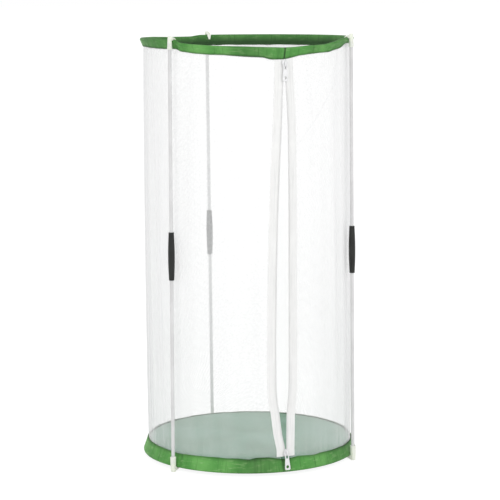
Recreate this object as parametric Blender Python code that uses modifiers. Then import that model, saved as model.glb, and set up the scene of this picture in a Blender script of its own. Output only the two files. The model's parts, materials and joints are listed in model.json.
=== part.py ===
"""Insect cage: a net cylinder sewn between two bound wire hoops.

Three rods, each two poles joined by a ferrule, clip on outside and hold the hoops apart.
A two-slider zip closes the door at the front, which faces -Y. Metres, +Z up.
The origin is on the cage's axis, at the surface that the three foot caps stand on.
"""

import math

import bmesh
import bpy
from mathutils import Vector

# Hoops and their bindings
NET_RADIUS = 0.148
TOP_FLARE = 0.0053
BOTTOM_FLARE = 0.0078
FRAME_HEIGHT = 0.6034
TOP_BAND_HEIGHT = 0.0145
BOTTOM_BAND_HEIGHT = 0.0205
HOOP_WIRE_RADIUS = 0.0012
BINDING_THICKNESS = 0.0008
NET_THICKNESS = 0.0005
FLOOR_THICKNESS = 0.0009
HEM_TUCK = 0.004
CLEAR = 0.0003

# Sag of the top ring: degrees from the zip, and share of RING_SAG, which is less than 0 where it is drawn up.
# The hoop and the seam sag unalike, so the binding is drawn up narrow by the right rod.
RING_SAG = 0.0125
HOOP_SAG_SHARES = (
    (-172, 0), (-166, 0.17), (-150, 0.15), (-135, 0.05), (-110, 0), (-60, 0), (-58.5, 0.3), (-55, 0.38),
    (-50, 0.48), (-41, 0.576), (-33, 0.65), (-21, 0.71), (-11, 0.785), (0, 0.865), (6, 0.83), (15, 0.68),
    (25, 0.65), (32, 0.41), (40, 0.08), (46, 0),
)
SEAM_SAG_SHARES = (
    (-120, 0), (-104, -0.27), (-90, -0.2), (-80, -0.15), (-60.5, -0.12), (-58, 0.1), (-54, 0.18), (-50, 0.29),
    (-43, 0.375), (-36.5, 0.42), (-30, 0.5), (-20.5, 0.65), (-11, 0.74), (-7.8, 0.93), (-4.6, 0.99), (-1, 1),
    (2, 0.91), (5.5, 0.76), (9, 0.59), (13, 0.52), (17, 0.455), (21, 0.36), (29.6, 0.33), (35, 0.14),
    (41, -0.03), (45, -0.3), (48.5, -0.55), (58, -0.55), (68, 0),
)

# Folds of the wall net: degrees from the zip, and depth as a share of FOLD_DEPTH
FOLD_DEPTH = 0.0026
FOLD_HALF_WIDTH = 0.011
WALL_HEIGHT_SHARES = (1, 0.94, 0.83, 0.5, 0.17, 0.06, 0)
FOLD_SHARES = ((-108, 0.7), (-90, 1.0), (-73, 0.8), (28, 0.6), (45, 1.0), (68, 0.9), (101, 0.6), (146, 0.7))

# Zip
TAPE_WIDTH = 0.0125
TAPE_THICKNESS = 0.0006
TAPE_SEAM = 0.006
COIL_WIDTH = 0.0018
COIL_THICKNESS = 0.0016
OPENING_LEFT = 0.0123
OPENING_RIGHT = 0.0048
SLIDER_WIDTH = 0.0082
SLIDER_HEIGHT = 0.009
SLIDER_PLATE = 0.0009
SLIDER_POST = 0.0012
SLIDER_POST_HEIGHT = 0.004
BRIDGE_WIDTH = 0.0022
BRIDGE_HALF_LENGTH = 0.0036
BRIDGE_THICKNESS = 0.0008
UPPER_SLIDER_GAP = 0.0008
LOWER_SLIDER_GAP = 0.0012
PULL_THICKNESS = 0.0011
PULL_REACH = 0.0222
PULL_TOP_WIDTH = 0.0056
PULL_END_WIDTH = 0.0078
PULL_WINDOW_WIDTH = 0.003
PULL_HOLE_RADIUS = 0.0022
PULL_HOLE_INSET = 0.0046
PULL_CORNER = 0.0012

# How far the door's edges stand open, from the lower slider, 0, to the upper one, 1
LEFT_OPENING_SHARES = (
    (0, 0), (0.012, 0.1), (0.04, 0.35), (0.07, 0.52), (0.1, 0.67), (0.13, 0.86), (0.16, 0.98), (0.24, 1),
    (0.32, 0.98), (0.5, 0.87), (0.66, 0.66), (0.75, 0.49), (0.865, 0.24), (0.96, 0.09), (1, 0),
)
RIGHT_OPENING_SHARES = (
    (0, 0), (0.05, 0.05), (0.09, 0.1), (0.13, 0.45), (0.16, 0.8), (0.25, 0.9), (0.5, 0.95), (0.66, 1),
    (0.75, 0.94), (0.865, 0.82), (0.92, 0.55), (0.96, 0.3), (1, 0),
)

# Rods
ROD_RADIUS = 0.0025
FERRULE_RADIUS = 0.00475
FERRULE_END_RADIUS = 0.00385
FERRULE_LENGTH = 0.0675
FERRULE_MIDDLE = 0.308
FERRULE_CHAMFER = 0.0008
FERRULE_BARREL_SHARE = 0.25
FERRULE_SWELL_SHARE = 0.62
TOP_CAP_RADIUS = 0.0037
TOP_CAP_END_RADIUS = 0.0027
TOP_CAP_LENGTH = 0.0188
FOOT_CAP_RADIUS = 0.0042
FOOT_CAP_END_RADIUS = 0.0038
FOOT_CAP_LENGTH = 0.0215
CAP_CHAMFER = 0.0009
CAP_SOCKET = 0.0085
TOP_CAP_RISE = 0.0051
FOOT_DROP = 0.0055
STRAP_WIDTH = 0.0072
HOOK_WIDTH = 0.0056
HOOK_TIP_WIDTH = 0.0028
TONGUE_THICKNESS = 0.0013
TONGUE_TIP_THICKNESS = 0.0009
TONGUE_DROP = 0.0077
TOP_OVER_SHARE = 0.5
FOOT_OVER_SHARE = 0.5
CUT_OVERRUN = 0.001

# Where each rod stands, in degrees from the zip: beside the lower hoop, then beside the upper one
ROD_ANGLES = {"front_left": (-62.4, -62.4), "front_right": (49, 49), "rear": (181.1, 182.6)}

# How finely round things are drawn
RING_STEPS = 96
WIRE_SIDES = 6
FOLD_STEPS = 6
ROD_SIDES = 24
CAP_STEPS = 16
RING_SPACE_SIDES = 16
ZIP_STATIONS = 22
HOLE_POINTS = 16
MERGE = 0.00001

# Rings and heights that follow from the sizes
TOP_RING_RADIUS = NET_RADIUS + TOP_FLARE
BOTTOM_RING_RADIUS = NET_RADIUS + BOTTOM_FLARE
TOP = FOOT_DROP + FRAME_HEIGHT
TOP_SEAM = TOP - TOP_BAND_HEIGHT
BOTTOM_SEAM = FOOT_DROP + BOTTOM_BAND_HEIGHT
FOLD_RADIUS = HOOP_WIRE_RADIUS + CLEAR + BINDING_THICKNESS
TOP_ROD_CIRCLE = TOP_RING_RADIUS + CLEAR + TOP_CAP_RADIUS
FOOT_ROD_CIRCLE = BOTTOM_RING_RADIUS + CLEAR + FOOT_CAP_RADIUS

# Depths at the zip, all measured from the cage's axis
TAPE_INSIDE = NET_RADIUS + NET_THICKNESS / 2 + CLEAR
COIL_INSIDE = TAPE_INSIDE + TAPE_THICKNESS + CLEAR
CHANNEL_INSIDE = TAPE_INSIDE - CLEAR
CHANNEL_OUTSIDE = COIL_INSIDE + COIL_THICKNESS + CLEAR
SLIDER_FRONT = CHANNEL_OUTSIDE + SLIDER_PLATE
PULL_BAR_REACH = math.hypot(PULL_THICKNESS / 2, PULL_THICKNESS / 2) + CLEAR
PULL_PIVOT = SLIDER_FRONT + PULL_BAR_REACH
BRIDGE_FRONT = PULL_PIVOT + PULL_BAR_REACH + BRIDGE_THICKNESS
PULL_DROP = BRIDGE_HALF_LENGTH - BRIDGE_THICKNESS - PULL_BAR_REACH
ROW_EDGE = SLIDER_POST / 2 + CLEAR
NET_EDGE = ROW_EDGE + TAPE_WIDTH - TAPE_SEAM

PARTS = None
CUTTERS = None


class Ring:
    """One hoop with its binding, described in the plane through the cage's axis."""

    def __init__(self, radius, edge, seam, sag=0):
        outward = 1 if edge > seam else -1
        self.radius = radius
        self.sag = sag
        self.sign = outward
        self.edge = edge
        self.hoop = Vector((radius - FOLD_RADIUS, edge - outward * FOLD_RADIUS))
        self.seam = Vector((NET_RADIUS, seam))
        self.along = (self.hoop - self.seam).normalized()
        self.across = Vector((self.along.y, -self.along.x)) * outward
        self.leaf_inner = NET_THICKNESS / 2 + CLEAR
        self.leaf_outer = self.leaf_inner + BINDING_THICKNESS

    def arc(self, radius, count, start_across):
        """Points round the hoop from one leaf to the other, past its far side."""
        points = []
        for i in range(count + 1):
            turn = math.pi * i / count
            points.append(
                self.hoop
                + self.across * radius * math.cos(turn) * start_across
                + self.along * radius * math.sin(turn)
            )
        return points

    def at(self, angle):
        """The ring's section at an angle, with its hoop and its seam where they sag to."""
        edge = self.edge - self.sag * sag_share(angle, HOOP_SAG_SHARES)
        seam = self.seam.y - self.sag * sag_share(angle, SEAM_SAG_SHARES)
        return Ring(self.radius, edge, seam)

    def leaf_overhang(self):
        """How far a leaf's end reaches past the seam, along the cage's axis."""
        return abs(self.across.y) * self.leaf_outer


TOP_RING = Ring(TOP_RING_RADIUS, TOP, TOP_SEAM, RING_SAG)
BOTTOM_RING = Ring(BOTTOM_RING_RADIUS, FOOT_DROP, BOTTOM_SEAM)
ZIP_TOP = TOP_SEAM - TOP_RING.leaf_overhang() - CLEAR
ZIP_BOTTOM = BOTTOM_SEAM + BOTTOM_RING.leaf_overhang() + CLEAR
UPPER_SLIDER = ZIP_TOP - RING_SAG - UPPER_SLIDER_GAP - SLIDER_HEIGHT / 2
LOWER_SLIDER = ZIP_BOTTOM + LOWER_SLIDER_GAP + SLIDER_HEIGHT / 2


def clear_scene():
    for obj in list(bpy.data.objects):
        bpy.data.objects.remove(obj, do_unlink=True)


def collection(name):
    made = bpy.data.collections.new(name)
    bpy.context.scene.collection.children.link(made)
    return made


def material(name, colour, roughness, metallic=0.0):
    made = bpy.data.materials.new(name)
    made.use_nodes = True
    shader = made.node_tree.nodes["Principled BSDF"]
    shader.inputs["Base Color"].default_value = (*colour, 1)
    shader.inputs["Roughness"].default_value = roughness
    shader.inputs["Metallic"].default_value = metallic
    made.diffuse_color = (*colour, 1)
    return made


GREEN = (0.11, 0.27, 0.08)
WHITE_NET = (0.86, 0.87, 0.87)
FLOOR_GREY = (0.42, 0.52, 0.47)
ROD_WHITE = (0.78, 0.78, 0.77)
CAP_WHITE = (0.80, 0.83, 0.74)
BLACK = (0.02, 0.02, 0.022)
STEEL = (0.5, 0.5, 0.52)
TAPE_WHITE = (0.85, 0.84, 0.84)
PAINT_WHITE = (0.82, 0.82, 0.82)


def add_object(name, data, look):
    """Links one piece of the cage, with a material of its own."""
    obj = bpy.data.objects.new(name, data)
    PARTS.objects.link(obj)
    data.materials.append(material(name, *look))
    return obj


def add_cutter(name, mesh):
    obj = bpy.data.objects.new(name, mesh)
    obj.hide_render = True
    obj.display_type = "WIRE"
    CUTTERS.objects.link(obj)
    return obj


def mesh_from(name, bm):
    bmesh.ops.recalc_face_normals(bm, faces=bm.faces)
    mesh = bpy.data.meshes.new(name)
    bm.to_mesh(mesh)
    bm.free()
    return mesh


def clockwise(points):
    """The outline running down its outer side, as a Screw modifier needs it."""
    area = 0
    for a, b in zip(points, points[1:] + points[:1]):
        area += a[0] * b[1] - b[0] * a[1]
    return points if area < 0 else points[::-1]


def profile_mesh(name, outline, closed):
    """The outline of a turned piece as an edge chain in the XZ plane."""
    outline = clockwise([tuple(p) for p in outline])
    edges = [(i, i + 1) for i in range(len(outline) - 1)]
    if closed:
        edges.append((len(outline) - 1, 0))
    mesh = bpy.data.meshes.new(name)
    mesh.from_pydata([(r, 0, z) for r, z in outline], edges, [])
    return mesh


def spin(obj, steps):
    screw = obj.modifiers.new("Turn", "SCREW")
    screw.axis = "Z"
    screw.angle = 2 * math.pi
    screw.screw_offset = 0
    screw.steps = steps
    screw.render_steps = steps
    screw.use_merge_vertices = True
    screw.merge_threshold = MERGE
    screw.use_smooth_shade = True
    return obj


def turned(name, outline, steps, look, closed=False):
    return spin(add_object(name, profile_mesh(name, outline, closed), look), steps)


def boolean(obj, other, operation):
    cut = obj.modifiers.new(other.name, "BOOLEAN")
    cut.operation = operation
    cut.object = other
    cut.solver = "EXACT"


def box_mesh(name, size, centre):
    bm = bmesh.new()
    bmesh.ops.create_cube(bm, size=1)
    for v in bm.verts:
        v.co = Vector([c + v.co[i] * size[i] for i, c in enumerate(centre)])
    return mesh_from(name, bm)


def read_table(table, place):
    """The value that a table gives at a place, straight between its entries and 0 beyond them."""
    for (a, from_value), (b, to_value) in zip(table, table[1:]):
        if a <= place <= b:
            return from_value + (to_value - from_value) * (place - a) / (b - a)
    return 0


def sag_share(angle, table):
    """The share of the sag that a table gives at an angle, straight from one drawn step to the next."""
    step = 2 * math.pi / RING_STEPS
    turns = angle / step
    low = math.floor(turns)
    ends = []
    for station in (low, low + 1):
        place = (math.degrees(station * step) + 180) % 360 - 180
        ends.append(read_table(table, place))
    return ends[0] + (ends[1] - ends[0]) * (turns - low)


def swept_ring(name, ring, outline_of, look):
    """A closed ring from the outlines of its section at every step."""
    bm = bmesh.new()
    lines = []
    for i in range(RING_STEPS):
        angle = 2 * math.pi * i / RING_STEPS
        turn = (math.sin(angle), -math.cos(angle))
        outline = outline_of(ring.at(angle))
        lines.append([bm.verts.new((r * turn[0], r * turn[1], z)) for r, z in outline])
    for here, there in zip(lines, lines[1:] + lines[:1]):
        for i in range(len(here)):
            j = (i + 1) % len(here)
            face = bm.faces.new((here[i], here[j], there[j], there[i]))
            face.smooth = True
    return add_object(name, mesh_from(name, bm), look)


def hoop_outline(ring):
    """The spring wire inside a binding."""
    outline = []
    for i in range(WIRE_SIDES):
        turn = 2 * math.pi * i / WIRE_SIDES
        side = Vector((math.cos(turn), math.sin(turn)))
        outline.append(ring.hoop + side * HOOP_WIRE_RADIUS)
    return outline


def binding_outline(ring):
    """A tape folded over the hoop, its two leaves open towards the net's hem."""
    outline = [ring.seam + ring.across * ring.leaf_outer]
    outline += ring.arc(FOLD_RADIUS, FOLD_STEPS, 1)
    outline += [ring.seam - ring.across * ring.leaf_outer, ring.seam - ring.across * ring.leaf_inner]
    outline += ring.arc(FOLD_RADIUS - BINDING_THICKNESS, FOLD_STEPS, -1)
    outline += [ring.seam + ring.across * ring.leaf_inner]
    return outline


def panel(name, ring, thickness, look):
    """A round panel that fills the net cylinder just inside a ring's seam."""
    radius = NET_RADIUS - NET_THICKNESS / 2 - CLEAR
    bm = bmesh.new()
    middles = []
    rims = []
    for side in (1, -1):
        rim = []
        for i in range(RING_STEPS):
            angle = 2 * math.pi * i / RING_STEPS
            local = ring.at(angle)
            level = local.seam.y - ring.sign * (local.leaf_overhang() + CLEAR + thickness / 2)
            point = (radius * math.sin(angle), -radius * math.cos(angle), level + side * thickness / 2)
            rim.append(bm.verts.new(point))
        middles.append(bm.verts.new((0, 0, sum(v.co.z for v in rim) / RING_STEPS)))
        rims.append(rim)
    for rim, middle in zip(rims, middles):
        for a, b in zip(rim, rim[1:] + rim[:1]):
            bm.faces.new((middle, a, b))
    for a, b, c, d in zip(rims[0], rims[0][1:] + rims[0][:1], rims[1][1:] + rims[1][:1], rims[1]):
        bm.faces.new((a, b, c, d))
    return add_object(name, mesh_from(name, bm), look)


def on_facet(radius, angle):
    """The distance from the axis to the side of a ring that is drawn in flat steps."""
    step = 2 * math.pi / RING_STEPS
    return radius * math.cos(step / 2) / math.cos(angle % step - step / 2)


def opening_share(side, z):
    """How far one edge of the door stands open at a height, as a share of its widest."""
    low = LOWER_SLIDER + SLIDER_HEIGHT / 2
    high = UPPER_SLIDER - SLIDER_HEIGHT / 2
    along = min(max((z - low) / (high - low), 0), 1)
    return read_table(LEFT_OPENING_SHARES if side < 0 else RIGHT_OPENING_SHARES, along)


def opening(side, z):
    """How far the zip's row stands from the middle of the door; side is -1 or 1."""
    return opening_share(side, z) * (OPENING_LEFT if side < 0 else OPENING_RIGHT)


def fold(angle, share):
    """How far the wall net stands out at a fold; share is the height's, 0 to 1."""
    out = 0
    for place, depth_share in FOLD_SHARES:
        away = (angle - math.radians(place) + math.pi) % (2 * math.pi) - math.pi
        out += FOLD_DEPTH * depth_share * math.exp(-((away * NET_RADIUS / FOLD_HALF_WIDTH) ** 2))
    return out * math.sin(math.pi * share) ** 0.5


def wall_columns(z):
    """Angles of the wall's points from the right edge of the door round to the left one."""
    step = 2 * math.pi / RING_STEPS
    clear_steps = 3
    edges = []
    for side in (1, -1):
        edge = (NET_EDGE + opening(side, z)) / NET_RADIUS
        edges.append((edge, (edge + clear_steps * step) / 2))
    (right, right_next), (left, left_next) = edges
    inner = [i * step for i in range(clear_steps, RING_STEPS + 1 - clear_steps)]
    return [right, right_next, *inner, 2 * math.pi - left_next, 2 * math.pi - left]


def wall_point(angle, z, share):
    """A point of the wall net at an angle, a height before the ring sags, and a share of the wall's height."""
    out = on_facet(NET_RADIUS, angle) + fold(angle, share)
    return out, z - RING_SAG * sag_share(angle, SEAM_SAG_SHARES) * share


def hem_point(ring, angle):
    """A point of the wall net's hem, tucked between a binding's leaves."""
    local = ring.at(angle)
    radius, z = local.seam + local.along * HEM_TUCK
    return on_facet(radius, angle), z


def wall_net():
    """The cylinder of net, open at the door, its hems tucked between the bindings' leaves."""
    heights = [BOTTOM_SEAM + (TOP_SEAM - BOTTOM_SEAM) * share for share in WALL_HEIGHT_SHARES]
    rows = [[(angle, *hem_point(TOP_RING, angle)) for angle in wall_columns(heights[0])]]
    for share, z in zip(WALL_HEIGHT_SHARES, heights):
        rows.append([(angle, *wall_point(angle, z, share)) for angle in wall_columns(z)])
    rows.append([(angle, *hem_point(BOTTOM_RING, angle)) for angle in wall_columns(heights[-1])])
    bm = bmesh.new()
    lines = []
    for row in rows:
        lines.append([bm.verts.new((r * math.sin(angle), -r * math.cos(angle), z)) for angle, r, z in row])
    for above, below in zip(lines, lines[1:]):
        for i in range(len(above) - 1):
            bm.faces.new((above[i], below[i], below[i + 1], above[i + 1]))
    obj = add_object("wall_net", mesh_from("wall_net", bm), (WHITE_NET, 0.8))
    shell = obj.modifiers.new("Net", "SOLIDIFY")
    shell.thickness = NET_THICKNESS
    shell.offset = 0
    return obj


def zip_strip(name, side, inset, width, inside, thickness, look):
    """A strip that follows one side of the door: a tape, or the row of coils on it."""
    bm = bmesh.new()
    lines = []
    for i in range(ZIP_STATIONS + 1):
        turn = math.pi * i / ZIP_STATIONS
        z = ZIP_BOTTOM + (ZIP_TOP - ZIP_BOTTOM) * (1 - math.cos(turn)) / 2
        edge = ROW_EDGE + inset + opening(side, z)
        line = []
        for radius in (inside, inside + thickness):
            for reach in (edge, edge + width):
                angle = side * reach / NET_RADIUS
                share = (z - ZIP_BOTTOM) / (ZIP_TOP - ZIP_BOTTOM)
                low = z - RING_SAG * sag_share(angle, SEAM_SAG_SHARES) * share
                line.append(bm.verts.new((radius * math.sin(angle), -radius * math.cos(angle), low)))
        lines.append(line)
    order = (0, 1, 3, 2)
    for below, above in zip(lines, lines[1:]):
        for a, b in zip(order, order[1:] + order[:1]):
            bm.faces.new((below[a], below[b], above[b], above[a]))
    for end in (lines[0], lines[-1]):
        bm.faces.new([end[k] for k in order])
    return add_object(name, mesh_from(name, bm), look)


def slider(name, height):
    """Two plates with the rows between them, joined by a post, and a bridge for the pull."""
    middle = (CHANNEL_INSIDE + CHANNEL_OUTSIDE) / 2
    front = (CHANNEL_OUTSIDE + SLIDER_FRONT) / 2
    back = CHANNEL_INSIDE - SLIDER_PLATE / 2
    plate = (SLIDER_WIDTH, SLIDER_PLATE, SLIDER_HEIGHT)
    obj = add_object(name, box_mesh(name, plate, (0, -front, 0)), (PAINT_WHITE, 0.4))
    obj.location.z = height
    post_depth = CHANNEL_OUTSIDE - CHANNEL_INSIDE + SLIDER_PLATE
    foot_depth = BRIDGE_FRONT - SLIDER_FRONT + SLIDER_PLATE / 2
    foot_middle = BRIDGE_FRONT - foot_depth / 2
    foot_height = BRIDGE_HALF_LENGTH - BRIDGE_THICKNESS / 2
    pieces = {
        "back": (plate, (0, -back, 0)),
        "post": ((SLIDER_POST, post_depth, SLIDER_POST_HEIGHT), (0, -middle, 0)),
        "strap": (
            (BRIDGE_WIDTH, BRIDGE_THICKNESS, BRIDGE_HALF_LENGTH * 2),
            (0, BRIDGE_THICKNESS / 2 - BRIDGE_FRONT, 0),
        ),
        "foot_up": ((BRIDGE_WIDTH, foot_depth, BRIDGE_THICKNESS), (0, -foot_middle, foot_height)),
        "foot_down": ((BRIDGE_WIDTH, foot_depth, BRIDGE_THICKNESS), (0, -foot_middle, -foot_height)),
    }
    for part, (size, centre) in pieces.items():
        other = add_cutter(f"{name}_{part}", box_mesh(part, size, centre))
        other.location.z = height
        boolean(obj, other, "UNION")
    return obj


def pull(name, height, tilt):
    """A flat tab that hangs on a slider's bridge; its origin is on its hinge."""
    bar = PULL_THICKNESS / 2
    window = math.hypot(BRIDGE_FRONT - PULL_PIVOT, BRIDGE_HALF_LENGTH + PULL_DROP) + CLEAR
    top, end = PULL_TOP_WIDTH / 2, PULL_END_WIDTH / 2
    gap = PULL_WINDOW_WIDTH / 2
    hole = PULL_REACH - PULL_HOLE_INSET
    outline = [(-top, bar), (top, bar), (top, -window), (end, PULL_HOLE_INSET - PULL_REACH)]
    outline += [(end, PULL_CORNER - PULL_REACH), (end - PULL_CORNER, -PULL_REACH)]
    outline += [(PULL_CORNER - end, -PULL_REACH), (-end, PULL_CORNER - PULL_REACH)]
    outline += [(-end, PULL_HOLE_INSET - PULL_REACH), (-top, -window)]
    slot = [(-gap, -bar), (gap, -bar), (gap, -window), (-gap, -window)]
    ring = []
    for i in range(HOLE_POINTS):
        turn = 2 * math.pi * i / HOLE_POINTS
        ring.append((PULL_HOLE_RADIUS * math.cos(turn), PULL_HOLE_RADIUS * math.sin(turn) - hole))
    curve = bpy.data.curves.new(name, "CURVE")
    curve.dimensions = "2D"
    curve.fill_mode = "BOTH"
    curve.extrude = PULL_THICKNESS / 2
    for points in (outline, slot, ring):
        spline = curve.splines.new("POLY")
        spline.points.add(len(points) - 1)
        spline.use_cyclic_u = True
        for point, (x, y) in zip(spline.points, points):
            point.co = (x, y, 0, 1)
    obj = add_object(name, curve, (PAINT_WHITE, 0.4))
    obj.location = (0, -PULL_PIVOT, height)
    obj.rotation_euler.x = math.pi / 2 - tilt
    return obj


def rod_point(angles, z):
    """A point on a rod's axis, which leans from outside the lower hoop to outside the upper one."""
    ends = []
    for angle, circle, level in zip(angles, (FOOT_ROD_CIRCLE, TOP_ROD_CIRCLE), (0, TOP + TOP_CAP_RISE)):
        turn = math.radians(angle)
        ends.append(Vector((circle * math.sin(turn), -circle * math.cos(turn), level)))
    foot, top = ends
    return foot.lerp(top, z / top.z)


def lay_along(obj, low, high):
    """Centres an upright piece between two points and leans it with them."""
    obj.location = (low + high) / 2
    obj.rotation_euler = (high - low).to_track_quat("Z", "Y").to_euler()


def pole(name, angles, low, high):
    bm = bmesh.new()
    bmesh.ops.create_cone(
        bm,
        cap_ends=True,
        segments=ROD_SIDES,
        radius1=ROD_RADIUS,
        radius2=ROD_RADIUS,
        depth=high - low,
    )
    obj = add_object(name, mesh_from(name, bm), (ROD_WHITE, 0.35))
    lay_along(obj, rod_point(angles, low), rod_point(angles, high))
    obj.data.shade_smooth()
    obj.data.set_sharp_from_angle(angle=math.radians(40))
    return obj


def ferrule(name, angles):
    """A barrel sleeve, bored right through, that the two poles meet in."""
    half = FERRULE_LENGTH / 2
    bore = ROD_RADIUS + CLEAR
    swell = (FERRULE_RADIUS + FERRULE_END_RADIUS) / 2
    upper_side = [
        (bore, half),
        (FERRULE_END_RADIUS - FERRULE_CHAMFER, half),
        (FERRULE_END_RADIUS, half - FERRULE_CHAMFER),
        (swell, half * FERRULE_SWELL_SHARE),
        (FERRULE_RADIUS, half * FERRULE_BARREL_SHARE),
    ]
    outline = upper_side + [(r, -z) for r, z in reversed(upper_side)]
    obj = turned(name, outline, CAP_STEPS, (BLACK, 0.45), closed=True)
    lay_along(obj, rod_point(angles, FERRULE_MIDDLE - half), rod_point(angles, FERRULE_MIDDLE + half))
    return obj


class Cap:
    """The sizes of a moulded cap that clips over one of the rings."""

    def __init__(self, ring, circle, rise, length, radius, end_radius, over_share):
        self.ring = ring
        self.circle = circle
        self.rise = rise
        self.length = length
        self.radius = radius
        self.end_radius = end_radius
        self.over_share = over_share

    def outline(self):
        """The body from its closed end to its open one, with the pole's socket in it."""
        far = self.rise
        near = self.rise - self.length
        bore = ROD_RADIUS + CLEAR
        socket = near + CAP_SOCKET
        points = [
            (0, far),
            (self.end_radius - CAP_CHAMFER, far),
            (self.end_radius, far - CAP_CHAMFER),
            (self.radius, near),
            (bore, near),
            (bore, socket),
            (0, socket),
        ]
        return [(r, self.ring.sign * h) for r, h in points]


def hook_strap(name, cap):
    """The strap that reaches from a cap over the hoop and down inside it to a tapered tip."""
    ring = cap.ring
    reach = FOLD_RADIUS + CLEAR
    inner = ring.hoop - ring.across * (reach - CUT_OVERRUN)
    outer = ring.hoop - ring.across * (reach + TONGUE_THICKNESS)
    tip = -ring.along * (TONGUE_DROP - FOLD_RADIUS) / abs(ring.along.y)
    tip_outer = outer + ring.across * (TONGUE_THICKNESS - TONGUE_TIP_THICKNESS) + tip
    shoulder = outer + ring.along * FOLD_RADIUS
    over = ring.edge + ring.sign * cap.rise * cap.over_share
    head = ring.edge + ring.sign * (cap.rise - CAP_CHAMFER)
    stations = (
        ((cap.circle, head), (cap.circle, ring.edge), STRAP_WIDTH),
        ((ring.hoop.x, over), ring.hoop, HOOK_WIDTH),
        (shoulder, inner + ring.across * CLEAR, HOOK_WIDTH),
        (outer, inner, HOOK_WIDTH),
        (tip_outer, inner + tip, HOOK_TIP_WIDTH),
    )
    bm = bmesh.new()
    levels = []
    for back, front, width in stations:
        corners = ((back, -1), (back, 1), (front, 1), (front, -1))
        levels.append([bm.verts.new((p[0], s * width / 2, p[1])) for p, s in corners])
    for above, below in zip(levels, levels[1:]):
        for i in range(4):
            j = (i + 1) % 4
            bm.faces.new((above[i], below[i], below[j], above[j]))
    bm.faces.new(levels[0])
    bm.faces.new(levels[-1])
    return add_cutter(name, mesh_from(name, bm))


def ring_space(name, ring):
    """The room that a bound hoop and its leaves need inside a hook."""
    reach = FOLD_RADIUS + CLEAR
    outline = []
    for i in range(RING_SPACE_SIDES // 2 + 1):
        turn = math.pi * i / (RING_SPACE_SIDES // 2)
        across = ring.across * reach * math.cos(turn)
        outline.append(ring.hoop + across + ring.along * reach * math.sin(turn))
    past = ring.seam - ring.along * CUT_OVERRUN
    outline.append(past - ring.across * (ring.leaf_outer + CLEAR))
    outline.append(past + ring.across * (ring.leaf_outer + CLEAR))
    return spin(add_cutter(name, profile_mesh(name, outline, True)), RING_STEPS)


def hook_cap(name, cap, angle):
    """A moulded cap on a pole's end whose hook clips over a bound hoop."""
    turn = math.radians(angle)
    obj = turned(name, cap.outline(), CAP_STEPS, (CAP_WHITE, 0.45))
    obj.location = (cap.circle * math.sin(turn), -cap.circle * math.cos(turn), cap.ring.edge)
    obj.rotation_euler.z = turn - math.pi / 2 + math.pi / CAP_STEPS
    strap = hook_strap(f"{name}_strap", cap)
    strap.rotation_euler.z = turn - math.pi / 2
    boolean(obj, strap, "UNION")
    boolean(obj, ring_space(f"{name}_ring_space", cap.ring), "DIFFERENCE")
    return obj


def rod(where, angles):
    """One rod: a cap, a pole, the ferrule, the lower pole and the foot cap."""
    top_sizes = (TOP_CAP_RISE, TOP_CAP_LENGTH, TOP_CAP_RADIUS, TOP_CAP_END_RADIUS, TOP_OVER_SHARE)
    foot_sizes = (FOOT_DROP, FOOT_CAP_LENGTH, FOOT_CAP_RADIUS, FOOT_CAP_END_RADIUS, FOOT_OVER_SHARE)
    top_cap = Cap(TOP_RING.at(math.radians(angles[1])), TOP_ROD_CIRCLE, *top_sizes)
    foot_cap = Cap(BOTTOM_RING, FOOT_ROD_CIRCLE, *foot_sizes)
    top_socket = TOP + TOP_CAP_RISE - TOP_CAP_LENGTH + CAP_SOCKET - CLEAR
    foot_socket = FOOT_CAP_LENGTH - CAP_SOCKET + CLEAR
    hook_cap(f"top_cap_{where}", top_cap, angles[1])
    pole(f"upper_pole_{where}", angles, FERRULE_MIDDLE + CLEAR / 2, top_socket)
    ferrule(f"ferrule_{where}", angles)
    pole(f"lower_pole_{where}", angles, foot_socket, FERRULE_MIDDLE - CLEAR / 2)
    hook_cap(f"foot_cap_{where}", foot_cap, angles[0])


def lower_pull_tilt():
    """The lean that lays the lower pull over the front of the bottom binding."""
    proud = BOTTOM_RING_RADIUS + CLEAR - (PULL_PIVOT - PULL_THICKNESS / 2) + CLEAR
    return math.atan2(proud, PULL_REACH)


def build():
    for word, ring in (("top", TOP_RING), ("bottom", BOTTOM_RING)):
        swept_ring(f"{word}_hoop", ring, hoop_outline, (STEEL, 0.35, 1.0))
        swept_ring(f"{word}_binding", ring, binding_outline, (GREEN, 0.85))
    panel("top_net", TOP_RING, NET_THICKNESS, (WHITE_NET, 0.8))
    panel("floor_panel", BOTTOM_RING, FLOOR_THICKNESS, (FLOOR_GREY, 0.85))
    wall_net()
    for side, word in ((-1, "left"), (1, "right")):
        zip_strip(
            f"zip_tape_{word}", side, 0, TAPE_WIDTH, TAPE_INSIDE, TAPE_THICKNESS, (TAPE_WHITE, 0.8)
        )
        zip_strip(
            f"zip_coil_{word}", side, 0, COIL_WIDTH, COIL_INSIDE, COIL_THICKNESS, (TAPE_WHITE, 0.5)
        )
    slider("upper_slider", UPPER_SLIDER)
    slider("lower_slider", LOWER_SLIDER)
    pull("upper_pull", UPPER_SLIDER - PULL_DROP, 0)
    pull("lower_pull", LOWER_SLIDER - PULL_DROP, lower_pull_tilt())
    for where, angles in ROD_ANGLES.items():
        rod(where, angles)


clear_scene()
PARTS = collection("insect_cage")
CUTTERS = collection("insect_cage_cutters")
build()
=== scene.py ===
# %% [markdown]
# # The looks of a round insect cage
#
# The cage is a tall cylinder of fine white net between two wire hoops, each sewn into a green binding.
# Three white rods clip on outside and hold the hoops apart, and a zip with two sliders closes the front.
# The cells below make one kind of piece after another, in the CAD's own frame: metres, +Z up, the zip facing
# -Y.
#
# Blender could import one finished mesh instead, but a script that builds each piece from its own sizes can
# be read, changed and run again. The CAD model comes first, as a fixed frame, and each new piece is laid
# over the CAD solid that it stands for.

# %% Loading the CAD frame
import json
import math

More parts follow.
